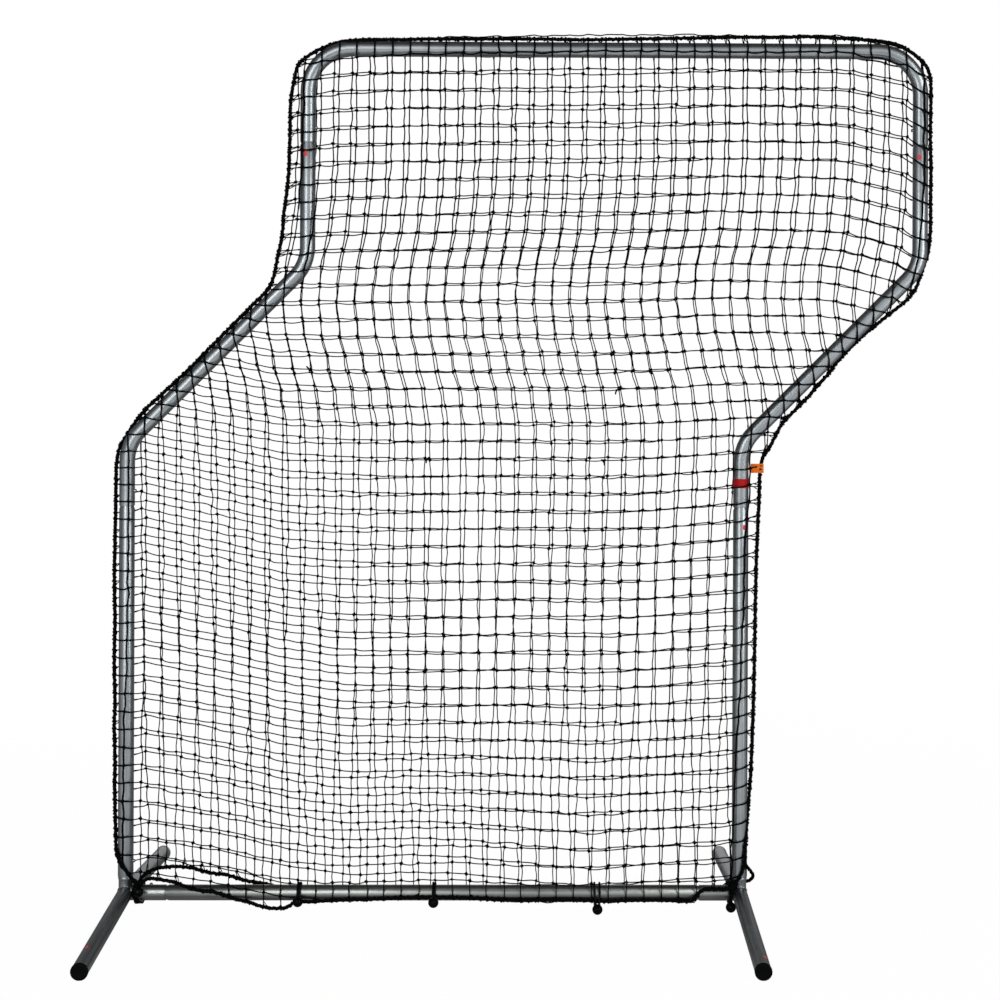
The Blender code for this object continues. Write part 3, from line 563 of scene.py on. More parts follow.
def frame_tube(name, replaced, start, way, moves, holes=(), radius=TUBE_RADIUS, finish=TUBE_STEEL):
    """Tube of the frame with its button holes, each given as a place and a way."""
    tube, axis_points = draw_tube(start, way, radius, moves)
    tube_wall(tube)
    for place, hole_way in holes:
        drill(tube, place, hole_way)
    mark_along(tube, axis_points)
    set_down(tube, name, finish, replaced)


def side_hole(post_x, outward, seam, radius=TUBE_RADIUS):
    return (post_x + outward * radius, 0.0, seam + BUTTON_TO_SEAM), OVER_X


def lower_post(side, post_x, outward):
    moves = [("run", ELBOW_SEAM - NECK_LENGTH - SHOULDER_LENGTH - BASE_SEAM, 0.0)] + male_moves()
    holes = [side_hole(post_x, outward, seam) for seam in (BASE_SEAM, ELBOW_SEAM)]
    frame_tube("post_" + side, "lower_post_" + side, (post_x, 0.0, BASE_SEAM), UP, moves, holes)


def side_bend(side, lower_x, upper_x, outward):
    setback = BEND_RADIUS * tan(SLANT / 2)
    slant_length = (UPPER_ELBOW - LOWER_ELBOW) / sin(SLANT)
    moves = [
        ("run", LOWER_ELBOW - ELBOW_SEAM - setback, 0.0),
        ("bend", SLANT, (BEND_RADIUS, OVER_Y)),
        ("run", slant_length - 2 * setback, 0.0),
        ("bend", -SLANT, (BEND_RADIUS, OVER_Y)),
        ("run", TOP_SEAM - NECK_LENGTH - SHOULDER_LENGTH - UPPER_ELBOW - setback, 0.0),
    ]
    holes = [side_hole(lower_x, outward, ELBOW_SEAM), side_hole(upper_x, outward, TOP_SEAM)]
    start = (lower_x, 0.0, ELBOW_SEAM)
    frame_tube("double_bend_" + side, "side_bend_" + side, start, UP, moves + male_moves(), holes)


def top_arch():
    rise = ("run", TOP_AXIS - TOP_SEAM - BEND_RADIUS, 0.0)
    corner = ("bend", pi / 2, (BEND_RADIUS, OVER_Y))
    moves = [rise, corner, ("run", UPPER_RIGHT - UPPER_LEFT - 2 * BEND_RADIUS, 0.0), corner, rise]
    holes = [side_hole(UPPER_LEFT, 1.0, TOP_SEAM), side_hole(UPPER_RIGHT, -1.0, TOP_SEAM)]
    frame_tube("arch_tube", "top_arch", (UPPER_LEFT, 0.0, TOP_SEAM), UP, moves, holes)


def crossbar():
    left_seam = LOWER_LEFT + SOCKET_LENGTH
    right_seam = LOWER_RIGHT - SOCKET_LENGTH
    moves = [
        ("run", LEAD_IN, INNER_RADIUS),
        ("run", ENGAGEMENT + NECK_LENGTH - LEAD_IN, INNER_RADIUS),
        ("run", SHOULDER_LENGTH, TUBE_RADIUS),
        ("run", right_seam - left_seam - 2 * (NECK_LENGTH + SHOULDER_LENGTH), 0.0),
    ]
    start = (left_seam - ENGAGEMENT, 0.0, AXIS_HEIGHT)
    spots = (left_seam - BUTTON_TO_SEAM, right_seam + BUTTON_TO_SEAM)
    holes = [((x, 0.0, AXIS_HEIGHT + TUBE_RADIUS), UP) for x in spots]
    frame_tube("crossbar_tube", "crossbar", start, OVER_X, moves + male_moves(), holes, LEAD_RADIUS, BAR_STEEL)


def foot_run(post_x):
    """Start, way and moves of a foot tube, which is bent in its middle."""
    half = FOOT_HALF_LENGTH / cos(FOOT_DROOP) - FOOT_BEND_RADIUS * tan(FOOT_DROOP)
    run = ("run", half, 0.0)
    moves = [run, ("bend", -2 * FOOT_DROOP, (FOOT_BEND_RADIUS, Vector(OVER_X))), run]
    start = (post_x, -FOOT_HALF_LENGTH, AXIS_HEIGHT - FOOT_DROP)
    return start, (0.0, cos(FOOT_DROOP), sin(FOOT_DROOP)), moves


def foot_tube(side, post_x):
    frame_tube("foot_" + side, "foot_tube_" + side, *foot_run(post_x), finish=FOOT_STEEL)


def foot_bit(post_x):
    """Block of the foot tube's own shape, a seat gap larger, for coping what is welded to it."""
    start, way, moves = foot_run(post_x)
    return fill_ends(draw_tube(start, way, TUBE_RADIUS + SEAT_GAP, moves)[0])


def base_spigot(side, post_x, outward, bit):
    """Upright stub with its rolled stop bead."""
    moves = [("run", BASE_SEAM - SEAT_GAP - BEAD_LENGTH - AXIS_HEIGHT, INNER_RADIUS)]
    for step in range(1, 7):
        moves.append(("run", BEAD_LENGTH / 6, INNER_RADIUS + BEAD_HEIGHT * sin(pi * step / 6)))
    moves += [("run", ENGAGEMENT + SEAT_GAP - LEAD_IN, INNER_RADIUS), ("run", LEAD_IN, LEAD_RADIUS)]
    stub, axis_points = draw_tube((post_x, 0.0, AXIS_HEIGHT), UP, INNER_RADIUS, moves)
    tube_wall(stub)
    drill(stub, *side_hole(post_x, outward, BASE_SEAM, INNER_RADIUS), STUB_HOLE_DEPTH)
    cope(stub, bit)
    mark_along(stub, axis_points)
    set_down(stub, "spigot_" + side, TUBE_STEEL, "base_spigot_" + side)


def crossbar_socket(side, post_x, sign, bit):
    start = (post_x, 0.0, AXIS_HEIGHT)
    stub, axis_points = draw_tube(start, (sign, 0.0, 0.0), TUBE_RADIUS, [("run", SOCKET_LENGTH, 0.0)])
    tube_wall(stub)
    cope(stub, bit)
    pick()
    bpy.ops.mesh.primitive_cylinder_add(
        vertices=48, radius=SHAFT_RADIUS, depth=SHAFT_LENGTH,
        location=(post_x, 0.0, AXIS_HEIGHT + SHAFT_LENGTH / 2),
    )
    shaft = bpy.context.active_object
    cope(stub, shaft)
    bpy.data.objects.remove(shaft)
    hole_x = post_x + sign * (SOCKET_LENGTH - BUTTON_TO_SEAM)
    drill(stub, (hole_x, 0.0, AXIS_HEIGHT + TUBE_RADIUS), UP, STUB_HOLE_DEPTH)
    mark_along(stub, axis_points)
    set_down(stub, "socket_" + side, BAR_STEEL, "crossbar_socket_" + side)


def weld_bead(side, post_x):
    """Rippled bead of weld round the spigot's foot, on the saddle of the foot tube."""
    pick()
    middle = INNER_RADIUS + WELD_RISE
    bpy.ops.mesh.primitive_torus_add(
        major_segments=96, minor_segments=8, major_radius=middle, minor_radius=WELD_RADIUS, location=(0.0, 0.0, 0.0)
    )
    bead = bpy.context.active_object
    for spot in bead.data.vertices:
        angle = atan2(spot.co.y, spot.co.x)
        reach = hypot(spot.co.x, spot.co.y) - INNER_RADIUS - WELD_RISE
        swell = 1.0 + WELD_RIPPLE * sin(angle * 22.0) * (1.0 if spot.co.z > -0.0012 else 0.2)
        ring = INNER_RADIUS + WELD_RISE + reach * swell
        across = ring * cos(angle)
        saddle = sqrt(max(0.0, (TUBE_RADIUS + WELD_RISE) ** 2 - min(abs(across), TUBE_RADIUS) ** 2))
        spot.co = (across, ring * sin(angle), saddle + spot.co.z * swell)
    bead.location = (post_x, 0.0, AXIS_HEIGHT)
    pick(bead)
    freeze()
    bpy.ops.object.shade_smooth()
    mark_along(bead, [Vector((post_x, 0.0, 0.0)), Vector((post_x, 0.0, 0.2))])
    set_down(bead, "weld_" + side, WELD_STEEL)


def turned(rings, sides):
    """Closed turned piece, standing on the origin, from its lowest ring to its top."""
    radius, height = rings[0]
    piece = start_ring((0.0, 0.0, height), UP, radius, sides)
    for next_radius, next_height in rings[1:]:
        rise = (0.0, 0.0, next_height - height)
        bpy.ops.mesh.extrude_region_move(TRANSFORM_OT_translate={"value": rise})
        factor = next_radius / radius
        bpy.ops.transform.resize(value=(factor, factor, 1.0), center_override=(0.0, 0.0, next_height))
        radius, height = next_radius, next_height
    leave_edit()
    return fill_ends(piece)


def stand(piece, place, way, around=None):
    """Turns an upright piece along way and moves it to place."""
    z_axis = Vector(way).normalized()
    x_axis = Vector(around) if around else z_axis.orthogonal()
    x_axis = (x_axis - z_axis * x_axis.dot(z_axis)).normalized()
    turn = Matrix((x_axis, z_axis.cross(x_axis), z_axis)).transposed()
    piece.matrix_world = Matrix.Translation(place) @ turn.to_4x4()
    pick(piece)
    freeze()


def end_cap(level, side, post_x, sign, finish):
    """Push-in cap: head with a rounded edge, a shallow dish and a flat worn sole, and a ribbed hollow plug."""
    top = SEAT_GAP + CAP_HEAD
    bore, groove = INNER_RADIUS - PLUG_WALL, INNER_RADIUS - 0.0006
    rings = [(0.0004, SEAT_GAP), (bore, SEAT_GAP), (bore, -PLUG_DEPTH), (groove, -PLUG_DEPTH)]
    for rib in range(4):
        low = -PLUG_DEPTH + 0.0008 + 0.0048 * rib
        rings += [(INNER_RADIUS, low), (INNER_RADIUS, low + 0.0022), (groove, low + 0.0028)]
    rings += [(groove, SEAT_GAP), (CAP_RADIUS - 0.0004, SEAT_GAP), (CAP_RADIUS, SEAT_GAP + 0.0004)]
    for step in range(7):
        angle = radians(15.0 * step)
        inset = CAP_EDGE_RADIUS * (1 - cos(angle))
        rings.append((CAP_RADIUS - inset, top - CAP_EDGE_RADIUS * (1 - sin(angle))))
    rings += [(0.0125, top), (0.0118, top - 0.0005), (0.0004, top - 0.0005)]
    cap = turned(rings, SIDES)
    way = (0.0, sign * cos(FOOT_DROOP), -sin(FOOT_DROOP))
    stand(cap, (post_x, sign * FOOT_HALF_LENGTH, AXIS_HEIGHT - FOOT_DROP), way, OVER_X)
    edit_all()
    bpy.ops.mesh.bisect(plane_co=(0.0, 0.0, 0.0), plane_no=UP, clear_inner=True, use_fill=True)
    leave_edit()
    close_up(cap)
    set_down(cap, "cap_" + level + "_" + side, finish, "end_cap_" + level + "_" + side)


def snap_button(name, place, way):
    """Domed button with its flange."""
    low = FLANGE_TOP - 0.0012
    rings = [(0.0002, low), (0.0058, low), (0.0058, FLANGE_TOP)]
    rings += [(BUTTON_RADIUS, FLANGE_TOP + 0.0001), (BUTTON_RADIUS, BUTTON_TIP - 0.0024)]
    for step in range(1, 7):
        angle = radians(14.5 * step)
        rings.append((BUTTON_RADIUS * cos(angle), BUTTON_TIP - 0.0024 * (1 - sin(angle))))
    rings.append((0.0002, BUTTON_TIP))
    button = turned(rings, 32)
    stand(button, place, way)
    mark_along(button, [Vector(place), Vector(place) + Vector(way) * 0.03])
    set_down(button, "button_" + name, BUTTON_STEEL, "snap_button_" + name, "button_" + name)


def soft_corners(corners, cut):
    """Points along a bent strip whose inner corners are rounded."""
    points = [corners[0]]
    for before, corner, after in zip(corners, corners[1:], corners[2:]):
        start = corner + (before - corner).normalized() * cut
        end = corner + (after - corner).normalized() * cut
        for step in range(5):
            share = step / 4
            points.append(start * (1 - share) ** 2 + corner * 2 * share * (1 - share) + end * share**2)
    return points + [corners[-1]]


def button_spring(name, place, way, along):
    """Strip bent to a V inside the tube. One leg carries the button, the other rests on the far wall."""
    points = soft_corners([Vector((run, 0.0, height)) for run, height in SPRING_CORNERS], SPRING_CUT)
    first = points[0]
    half = SPRING_WIDTH / 2
    pick()
    bpy.ops.mesh.primitive_plane_add(size=SPRING_WIDTH, location=(first.x - half, 0.0, first.z))
    strip = bpy.context.active_object
    edit_all()
    slim = 0.002 / SPRING_WIDTH
    bpy.ops.transform.resize(value=(slim, 1.0, 1.0), center_override=first)
    bpy.ops.mesh.select_all(action="DESELECT")
    leave_edit()
    for edge in strip.data.edges:
        edge.select = all(strip.data.vertices[v].co.x > half - 0.001 for v in edge.vertices)
    bpy.ops.object.mode_set(mode="EDIT")
    bpy.ops.mesh.select_mode(type="EDGE")
    for before, after in zip(points, points[1:]):
        bpy.ops.mesh.extrude_region_move(TRANSFORM_OT_translate={"value": tuple(after - before)})
    leave_edit()
    freeze()
    modify(strip, "SOLIDIFY", thickness=SPRING_THICKNESS, offset=0.0)
    close_up(strip)
    stand(strip, place, way, along)
    place, way = Vector(place), Vector(way)
    mark_along(strip, [place, place + Vector(along) * SPRING_CORNERS[2][0]])
    dress(strip, "spring_" + name, SPRING_STEEL, "button_spring_" + name)
    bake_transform(strip)


def all_buttons():
    couplings = []
    for level, seam, left_x, right_x in (
        ("base", BASE_SEAM, LOWER_LEFT, LOWER_RIGHT),
        ("elbow", ELBOW_SEAM, LOWER_LEFT, LOWER_RIGHT),
        ("top", TOP_SEAM, UPPER_LEFT, UPPER_RIGHT),
    ):
        for side, post_x, sign in (("_left", left_x, 1.0), ("_right", right_x, -1.0)):
            place = (post_x, 0.0, seam + BUTTON_TO_SEAM)
            couplings.append((level + side, place, (sign, 0.0, 0.0), (0.0, 0.0, -1.0)))
    inset = SOCKET_LENGTH - BUTTON_TO_SEAM
    for side, sign, place_x in (("_left", 1.0, LOWER_LEFT + inset), ("_right", -1.0, LOWER_RIGHT - inset)):
        couplings.append(("bar" + side, (place_x, 0.0, AXIS_HEIGHT), UP, (sign, 0.0, 0.0)))
    for name, place, way, along in couplings:
        snap_button(name, place, way)
        button_spring(name, place, way, along)


# Ropes. Each route gives x, depth and height in tenths of a millimetre

BORDER_ROUTE = [
    (-9490, -300, 775), (-9571, -290, 897), (-9677, -282, 1030), (-9791, -280, 1178), (-9905, -255, 1306),
    (-9982, -200, 1440), (-10046, -100, 1601), (-10080, -30, 1794), (-10104, 0, 2331), (-10124, 0, 3075),
    (-10120, 0, 3819), (-10140, 0, 4687), (-10125, 0, 5307), (-10147, 0, 6299), (-10133, 0, 7291),
    (-10152, 0, 8283), (-10139, 0, 9276), (-10123, 0, 10268), (-10120, 0, 10813), (-10097, 0, 11260),
    (-10019, 0, 11607), (-9837, 0, 11906), (-9665, 0, 12179), (-9417, 0, 12502), (-9096, 0, 12801),
    (-8776, 0, 13100), (-8455, 0, 13399), (-8151, 0, 13698), (-7863, 0, 13997), (-7567, 0, 14296),
    (-7271, 0, 14595), (-6975, 0, 14894), (-6681, 0, 15193), (-6390, 0, 15492), (-6247, 0, 15790),
    (-6179, 0, 16089), (-6126, 0, 16387), (-6057, 0, 16685), (-6012, 0, 17033), (-5998, 0, 17331),
    (-5957, 0, 17629), (-5914, 0, 17977), (-5876, 0, 18374), (-5860, 0, 18771), (-5847, 0, 19218),
    (-5841, 0, 19665), (-5838, 0, 20013), (-5812, 0, 20336), (-5741, 0, 20733), (-5683, 0, 20994),
    (-5589, 0, 21166), (-5372, 0, 21331), (-5144, 0, 21462), (-4882, 0, 21573), (-4599, 0, 21664),
    (-4294, 0, 21703), (-3870, 0, 21723), (-3126, 0, 21727), (-2381, 0, 21746), (-1139, 0, 21753),
    (352, 0, 21762), (1347, 0, 21748), (2343, 0, 21768), (3338, 0, 21789), (4335, 0, 21810), (5331, 0, 21835),
    (6329, 0, 21836), (6952, 0, 21860), (7576, 0, 21834), (8200, 0, 21802), (8824, 0, 21756),
    (9274, 0, 21664), (9614, 0, 21482), (9940, 0, 21199), (10066, 0, 20931), (10102, 0, 20622),
    (10100, 0, 20049), (10093, 0, 19301), (10111, 0, 18553), (10104, 0, 17806), (10106, 0, 17158),
    (10078, 0, 16759), (10039, 0, 16459), (9945, 0, 16160), (9842, 0, 15860), (9723, 0, 15561),
    (9494, 0, 15286), (9106, 0, 14973), (8720, 0, 14660), (8367, 0, 14359), (8064, 0, 14059),
    (7790, 0, 13759), (7567, 0, 13459), (7294, 0, 13159), (7045, 0, 12860), (6747, 0, 12560),
    (6454, 0, 12260), (6276, 0, 11960), (6127, 0, 11661), (5951, 0, 11387), (5873, 0, 11063),
    (5864, 0, 10714), (5846, 0, 10191), (5814, 0, 9444), (5788, 0, 8672), (5771, 0, 7776), (5760, 0, 6879),
    (5746, 0, 5983), (5725, 0, 5037), (5698, 0, 4215), (5669, 0, 3468), (5621, 0, 2846), (5578, -40, 2408),
    (5548, -140, 1989), (5515, -215, 1663), (5488, -265, 1380), (5425, -282, 1138), (5306, -285, 916),
    (5217, -290, 757),
]
FRONT_HEM_ROUTE = [
    (-9448, -290, 794), (-9357, -280, 894), (-9193, -255, 956), (-9005, -250, 945), (-8817, -250, 910),
    (-8628, -250, 876), (-8441, -248, 814), (-8251, -246, 739), (-8064, -246, 683), (-7874, -246, 648),
    (-7687, -246, 634), (-7512, -246, 594), (-7339, -246, 535), (-7093, -240, 449), (-6751, -220, 364),
    (-6569, -200, 289), (-6385, -190, 236), (-6176, -185, 200), (-6016, -180, 201), (-5868, -180, 211),
    (-5756, -190, 271), (-5642, -215, 353), (-5494, -215, 383), (-5248, -212, 372), (-4755, -200, 400),
    (-3767, -219, 436), (-3100, -230, 470), (-2532, -235, 485), (-1900, -235, 485), (-1296, -231, 468),
    (-700, -215, 430), (-59, -200, 400), (931, -211, 420), (1674, -200, 400), (2071, -180, 375),
    (2541, -202, 404), (3408, -207, 412), (4003, -186, 380), (4200, -225, 402), (4309, -246, 522),
    (4407, -250, 647), (4567, -258, 709), (4789, -268, 708), (5010, -285, 718), (5169, -300, 738),
]
REAR_HEM_ROUTE = [
    (-9471, -230, 800), (-9471, -50, 859), (-9414, 120, 926), (-9286, 220, 1001), (-9105, 245, 1063),
    (-8894, 245, 1093), (-8645, 245, 1109), (-8356, 245, 1086), (-8197, 245, 1064), (-8035, 245, 1009),
    (-7848, 245, 962), (-7648, 245, 930), (-7449, 245, 915), (-7299, 245, 875), (-7100, 245, 813),
    (-6900, 245, 756), (-6676, 245, 716), (-6501, 245, 691), (-6326, 240, 658), (-6124, 225, 573),
    (-5873, 212, 442), (-5548, 208, 374), (-4551, 205, 365), (-2058, 205, 364), (439, 205, 366),
    (2939, 205, 375), (3939, 205, 383), (4366, 215, 427), (4743, 236, 493), (4990, 236, 590), (5148, 85, 765),
    (5192, -120, 791), (5203, -240, 788),
]


def smooth_route(route, step):
    """Points about one step apart on a smooth curve through the route's own points."""
    ends = [route[0] * 2 - route[1]] + route + [route[-1] * 2 - route[-2]]
    points = []
    for first, start, end, last in zip(ends, ends[1:], ends[2:], ends[3:]):
        pieces = max(1, ceil((end - start).length / step))
        for piece in range(pieces):
            share = piece / pieces
            curve = start * 2 + (end - first) * share
            curve += (first * 2 - start * 5 + end * 4 - last) * share**2
            curve += (start * 3 - first - end * 3 + last) * share**3
            points.append(curve / 2)
    points.append(route[-1])
    return points


def cord_mesh(strands, resolution):
    """One mesh of round strands. Each strand is a list of points and one of radii."""
    curve = bpy.data.curves.new("cord", "CURVE")
    curve.dimensions = "3D"
    curve.bevel_depth = 1.0
    curve.bevel_resolution = resolution
    curve.use_fill_caps = True
    for points, radii in strands:
        spline = curve.splines.new("POLY")
        spline.points.add(len(points) - 1)
        for target, place, radius in zip(spline.points, points, radii):
            target.co = (*place, 1.0)
            target.radius = radius
    pick(add_object("cord", curve))
    bpy.ops.object.convert(target="MESH")
    return close_up(bpy.context.active_object, 60.0)


def stations_along(points):
    """For each point of a route its run so far and two ways across it that turn as little as they can."""
    stations = []
    run = 0.0
    for index, point in enumerate(points):
        before = points[max(index - 1, 0)]
        way = (points[min(index + 1, len(points) - 1)] - before).normalized()
        if index:
            run += (point - before).length
        else:
            side = way.orthogonal().normalized()
        side = (side - way * side.dot(way)).normalized()
        stations.append((point, run, side, way.cross(side)))
    return stations


def twisted_rope(route, step, radius, pitch, seed):
    """Laid rope: three strands that turn round each other, each a little uneven."""
    dice = random.Random(seed)
    stations = stations_along(smooth_route(route, step))
    strand_radius = radius * 0.52
    reach = radius - strand_radius
    strands = []
    for number in range(3):
        points = []
        radii = []
        for point, run, side, over in stations:
            angle = 2 * pi * (run / pitch + number / 3)
            points.append(point + (side * cos(angle) + over * sin(angle)) * reach)
            radii.append(strand_radius * dice.uniform(0.90, 1.08))
        strands.append((points, radii))
    return strands


def path_of(route):
    return [Vector([part / 10000 for part in point]) for point in route]


def laced_turns(route, pitch, reach, seed):
    """Lacing twine that winds along a rope, here and there standing a little off it."""
    dice = random.Random(seed)
    turns = []
    loose = 0.0
    for index, (point, run, side, over) in enumerate(stations_along(smooth_route(route, pitch / 8))):
        if index % 8 == 0:
            loose = dice.choice((-0.0006, -0.0004, 0.0, 0.0003, 0.0010))
        angle = 2 * pi * run / pitch
        turns.append(point + (side * cos(angle) + over * sin(angle)) * (reach + loose))
    return turns, [TWINE_RADIUS * 0.85] * len(turns)


def all_ropes():
    """Laid ropes, each with its lacing twine round it."""
    for name, route, replaced, seed in (
        ("border_rope_laid", BORDER_ROUTE, "border_rope", 3),
        ("hem_front_laid", FRONT_HEM_ROUTE, "hem_rope_front", 5),
        ("hem_back_laid", REAR_HEM_ROUTE, "hem_rope_back", 6),
    ):
        strands = twisted_rope(path_of(route), ROPE_STEP, ROPE_RADIUS, ROPE_PITCH, seed)
        strands.append(laced_turns(path_of(route), LACING_PITCH, ROPE_RADIUS - 0.0002, seed + 30))
        set_down(cord_mesh(strands, 1), name, ROPE_FIBRE, replaced)


def overhand_knot(place, reach, depth, tilt, radius, seed):
    """Strands of a rope tied in an overhand knot round place."""
    loop = []
    for step in range(37):
        turn = 2 * pi * step / 36
        across = sin(turn) + 2 * sin(2 * turn)
        up = cos(turn) - 2 * cos(2 * turn)
        flat = complex(across, up) * complex(cos(tilt), sin(tilt)) * reach / 3
        loop.append(Vector(place) + Vector((flat.real, -sin(3 * turn) * depth, flat.imag)))
    return twisted_rope(loop, 0.0045, radius, KNOT_PITCH, seed)


# Each corner's overhand knot, and the ropes that run from it as a route, a step, a radius, a pitch and a seed
CORNER_KNOTS = {
    "left": (
        ((-0.9475, -0.0300, 0.0830), 0.0072, 0.0038, 0.3, 0.0042, 41),
        (
            [(-9500, -300, 830), (-9570, -300, 740), (-9620, -270, 630), (-9610, -245, 520), (-9540, -245, 450)],
            0.005, 0.0042, KNOT_PITCH, 42,
        ),
        (
            [(-9560, -260, 930), (-9490, -330, 900), (-9420, -300, 840), (-9450, -240, 780)],
            0.005, 0.0040, KNOT_PITCH, 43,
        ),
    ),
    "right": (
        ((0.5215, -0.0300, 0.0770), 0.0064, 0.0036, -0.4, 0.0040, 44),
        (
            [(5215, -310, 740), (5180, -310, 640), (5165, -285, 500), (5165, -240, 400)],
            0.005, 0.0042, KNOT_PITCH, 45,
        ),
        (
            [(5060, -280, 735), (5140, -330, 745), (5260, -320, 800), (5330, -270, 850)],
            0.005, 0.0040, KNOT_PITCH, 46,
        ),
        (
            [
                (5490, -260, 1400), (5530, -210, 1290), (5590, -160, 1200), (5660, -100, 1110), (5730, -40, 990),
                (5710, 20, 890), (5620, 100, 800), (5520, 200, 780), (5380, 235, 785), (5240, 190, 785),
                (5195, 80, 790), (5200, -120, 800), (5205, -230, 800),
            ],
            ROPE_STEP, ROPE_RADIUS, 0.030, 47,
        ),
    ),
}


def corner_knots():
    """Where the border rope and both hem ropes are gathered and knotted at the lower corners."""
    for side, (knot, *tails) in CORNER_KNOTS.items():
        strands = overhand_knot(*knot)
        for route, *lay in tails:
            strands += twisted_rope(path_of(route), *lay)
        set_down(cord_mesh(strands, 1), "corner_knot_" + side, ROPE_FIBRE)


# Net. How far its columns swing to the right at each height, and how far its rows
# and columns leave a square mesh at stations across it, in millimetres

FRONT_SWING = [
    (2.10, 11), (1.90, 10), (1.80, 4), (1.72, -4), (1.66, -15), (1.60, -27), (1.54, -33), (1.46, -26),
    (1.38, -12), (1.30, 5), (1.22, 15), (1.05, 17), (0.85, 11), (0.60, 4), (0.33, -5), (0.12, -9),
]
BACK_SWING = [
    (2.10, 1), (1.90, 0), (1.80, -4), (1.72, -11), (1.66, -20), (1.60, -30), (1.54, -36), (1.46, -30),
    (1.38, -17), (1.30, -1), (1.22, 6), (1.05, 2), (0.85, 1), (0.60, 6), (0.33, 12), (0.12, 19),
]
LIFT_STATIONS = (
    -0.985, -0.95, -0.75, -0.60, -0.45, -0.30, -0.15, 0.0, 0.15, 0.30, 0.50, 0.52, 0.575, 0.78, 0.93, 0.985,
)
FRONT_LIFT = [
    (2.10, (-43, -40, -40, -34, -18, -7, -4, 0, 3, 4, 3, 3, 3, 5, -26, -59)),
    (1.70, (37, 40, 0, -26, -19, -13, -8, -4, -2, -2, 0, 0, -1, -4, -43, -74)),
    (1.30, (42, 45, 13, -10, -11, -7, -4, -1, -1, -2, 9, 9, 9, 10, -24, -44)),
    (1.00, (61, 64, 24, -8, -12, -7, -3, 0, -1, 1, 15, 16, 36, 20, 20, 20)),
    (0.60, (69, 72, 36, 6, -13, -10, -7, 0, -1, -1, 8, 9, 30, 20, 20, 20)),
    (0.12, (61, 64, 36, 4, -8, -2, 0, -9, -12, -4, -2, -1, 19, 10, 10, 10)),
]
BACK_LIFT = [
    (2.10, (-40, -30, -30, -26, -5, -3, -4, -4, -5, -2, 6, 6, 5, 4, -27, -60)),
    (1.70, (50, 60, 20, -16, -9, -11, -11, -10, -11, -7, 3, 3, 2, -3, -41, -72)),
    (1.30, (56, 66, 33, 4, -4, -7, -8, -10, -11, -5, 8, 8, 8, 10, -19, -39)),
    (1.00, (73, 83, 42, 9, -2, -6, -6, -9, -11, -6, 15, 15, 16, 20, 20, 20)),
    (0.60, (86, 96, 57, 22, -3, -8, -12, -12, -18, -8, 12, 13, 14, 20, 20, 20)),
    (0.12, (78, 88, 57, 22, 0, 8, 2, -13, -30, -15, 0, 1, 3, 10, 10, 10)),
]
SPREAD_STATIONS = (-0.95, -0.60, -0.30, 0.0, 0.30, 0.50, 0.93)
FRONT_SPREAD = [
    (2.10, (-8, -6, -5, -3, 0, 2, 6)),
    (1.60, (-14, -13, -8, -3, 1, 4, 10)),
    (1.20, (-9, -6, -1, 1, 7, 12, 6)),
    (0.90, (1, 0, 0, 0, 0, 0, 0)),
    (0.60, (6, 4, 0, -2, -2, -2, -2)),
    (0.12, (11, 8, 1, -8, -9, -9, -9)),
]
BACK_SPREAD = [
    (2.10, (-12, -13, -11, -5, 1, 6, 14)),
    (1.60, (-17, -17, -11, -4, 3, 7, 12)),
    (1.20, (-13, -11, -5, 4, 11, 16, 10)),
    (0.90, (-9, -6, -2, 3, 9, 11, 11)),
    (0.60, (-7, -5, 0, 2, 5, 6, 6)),
    (0.12, (-6, -3, 0, 0, 5, 7, 7)),
]
NET_ORIGIN = (0.0135, 1.443)


def at_height(rows, height):
    """Value or list of values at a height, between the given rows."""
    if height >= rows[0][0]:
        return np.array(rows[0][1], float)
    for (high, upper), (low, lower) in zip(rows, rows[1:]):
        if height >= low:
            share = (high - height) / (high - low)
            share = share * share * (3 - 2 * share) if isinstance(upper, int) else share
            return np.array(upper, float) * (1 - share) + np.array(lower, float) * share
    return np.array(rows[-1][1], float)


def net_spot(column, row, swing, lift, widen):
    """Place of one knot in the layer's own plane."""
    x = NET_ORIGIN[0] + MESH_WIDTH * column
    z = NET_ORIGIN[1] - MESH_HEIGHT * row
    moved = float(at_height(swing, z)) + np.interp(x, SPREAD_STATIONS, at_height(widen, z))
    raised = np.interp(x, LIFT_STATIONS, at_height(lift, z))
    return x + moved / 1000, z + raised / 1000


class Outline:
    """Closed outline in the screen's plane, with the depth of its cord at each corner."""

    def __init__(self, points):
        self.places = np.array([(p[0], p[2]) for p in points])
        self.depths = np.array([p[1] for p in points])
        self.next_places = np.roll(self.places, -1, axis=0)
        self.next_depths = np.roll(self.depths, -1)

    def holds(self, x, z):
        """True where the point lies inside."""
        low = self.places[:, 1] > z
        high = self.next_places[:, 1] > z
        crossing = low != high
        first = self.places[crossing]
        second = self.next_places[crossing]
        cut = first[:, 0] + (z - first[:, 1]) / (second[:, 1] - first[:, 1]) * (second[:, 0] - first[:, 0])
        return (np.count_nonzero(cut > x) % 2) == 1

    def nearest(self, x, z):
        """Distance to the outline and the cord's depth there."""
        spot = np.array((x, z))
        runs = self.next_places - self.places
        share = ((spot - self.places) * runs).sum(1) / np.maximum((runs**2).sum(1), 1e-12)
        share = np.clip(share, 0.0, 1.0)
        feet = self.places + runs * share[:, None]
        gaps = np.hypot(*(spot - feet).T)
        best = int(gaps.argmin())
        depth = self.depths[best] * (1 - share[best]) + self.next_depths[best] * share[best]
        return float(gaps[best]), float(depth)


# Corners of a side bend's axis from its lower and its upper elbow, and of the arch's from its corner
ELBOW_LINE = ((0.0, -0.045), (0.010, -0.008), (0.032, 0.032))
ARCH_LINE = ((0.0, 0.108), (0.0145, 0.054), (0.032, 0.032), (0.054, 0.0145), (0.108, 0.0))


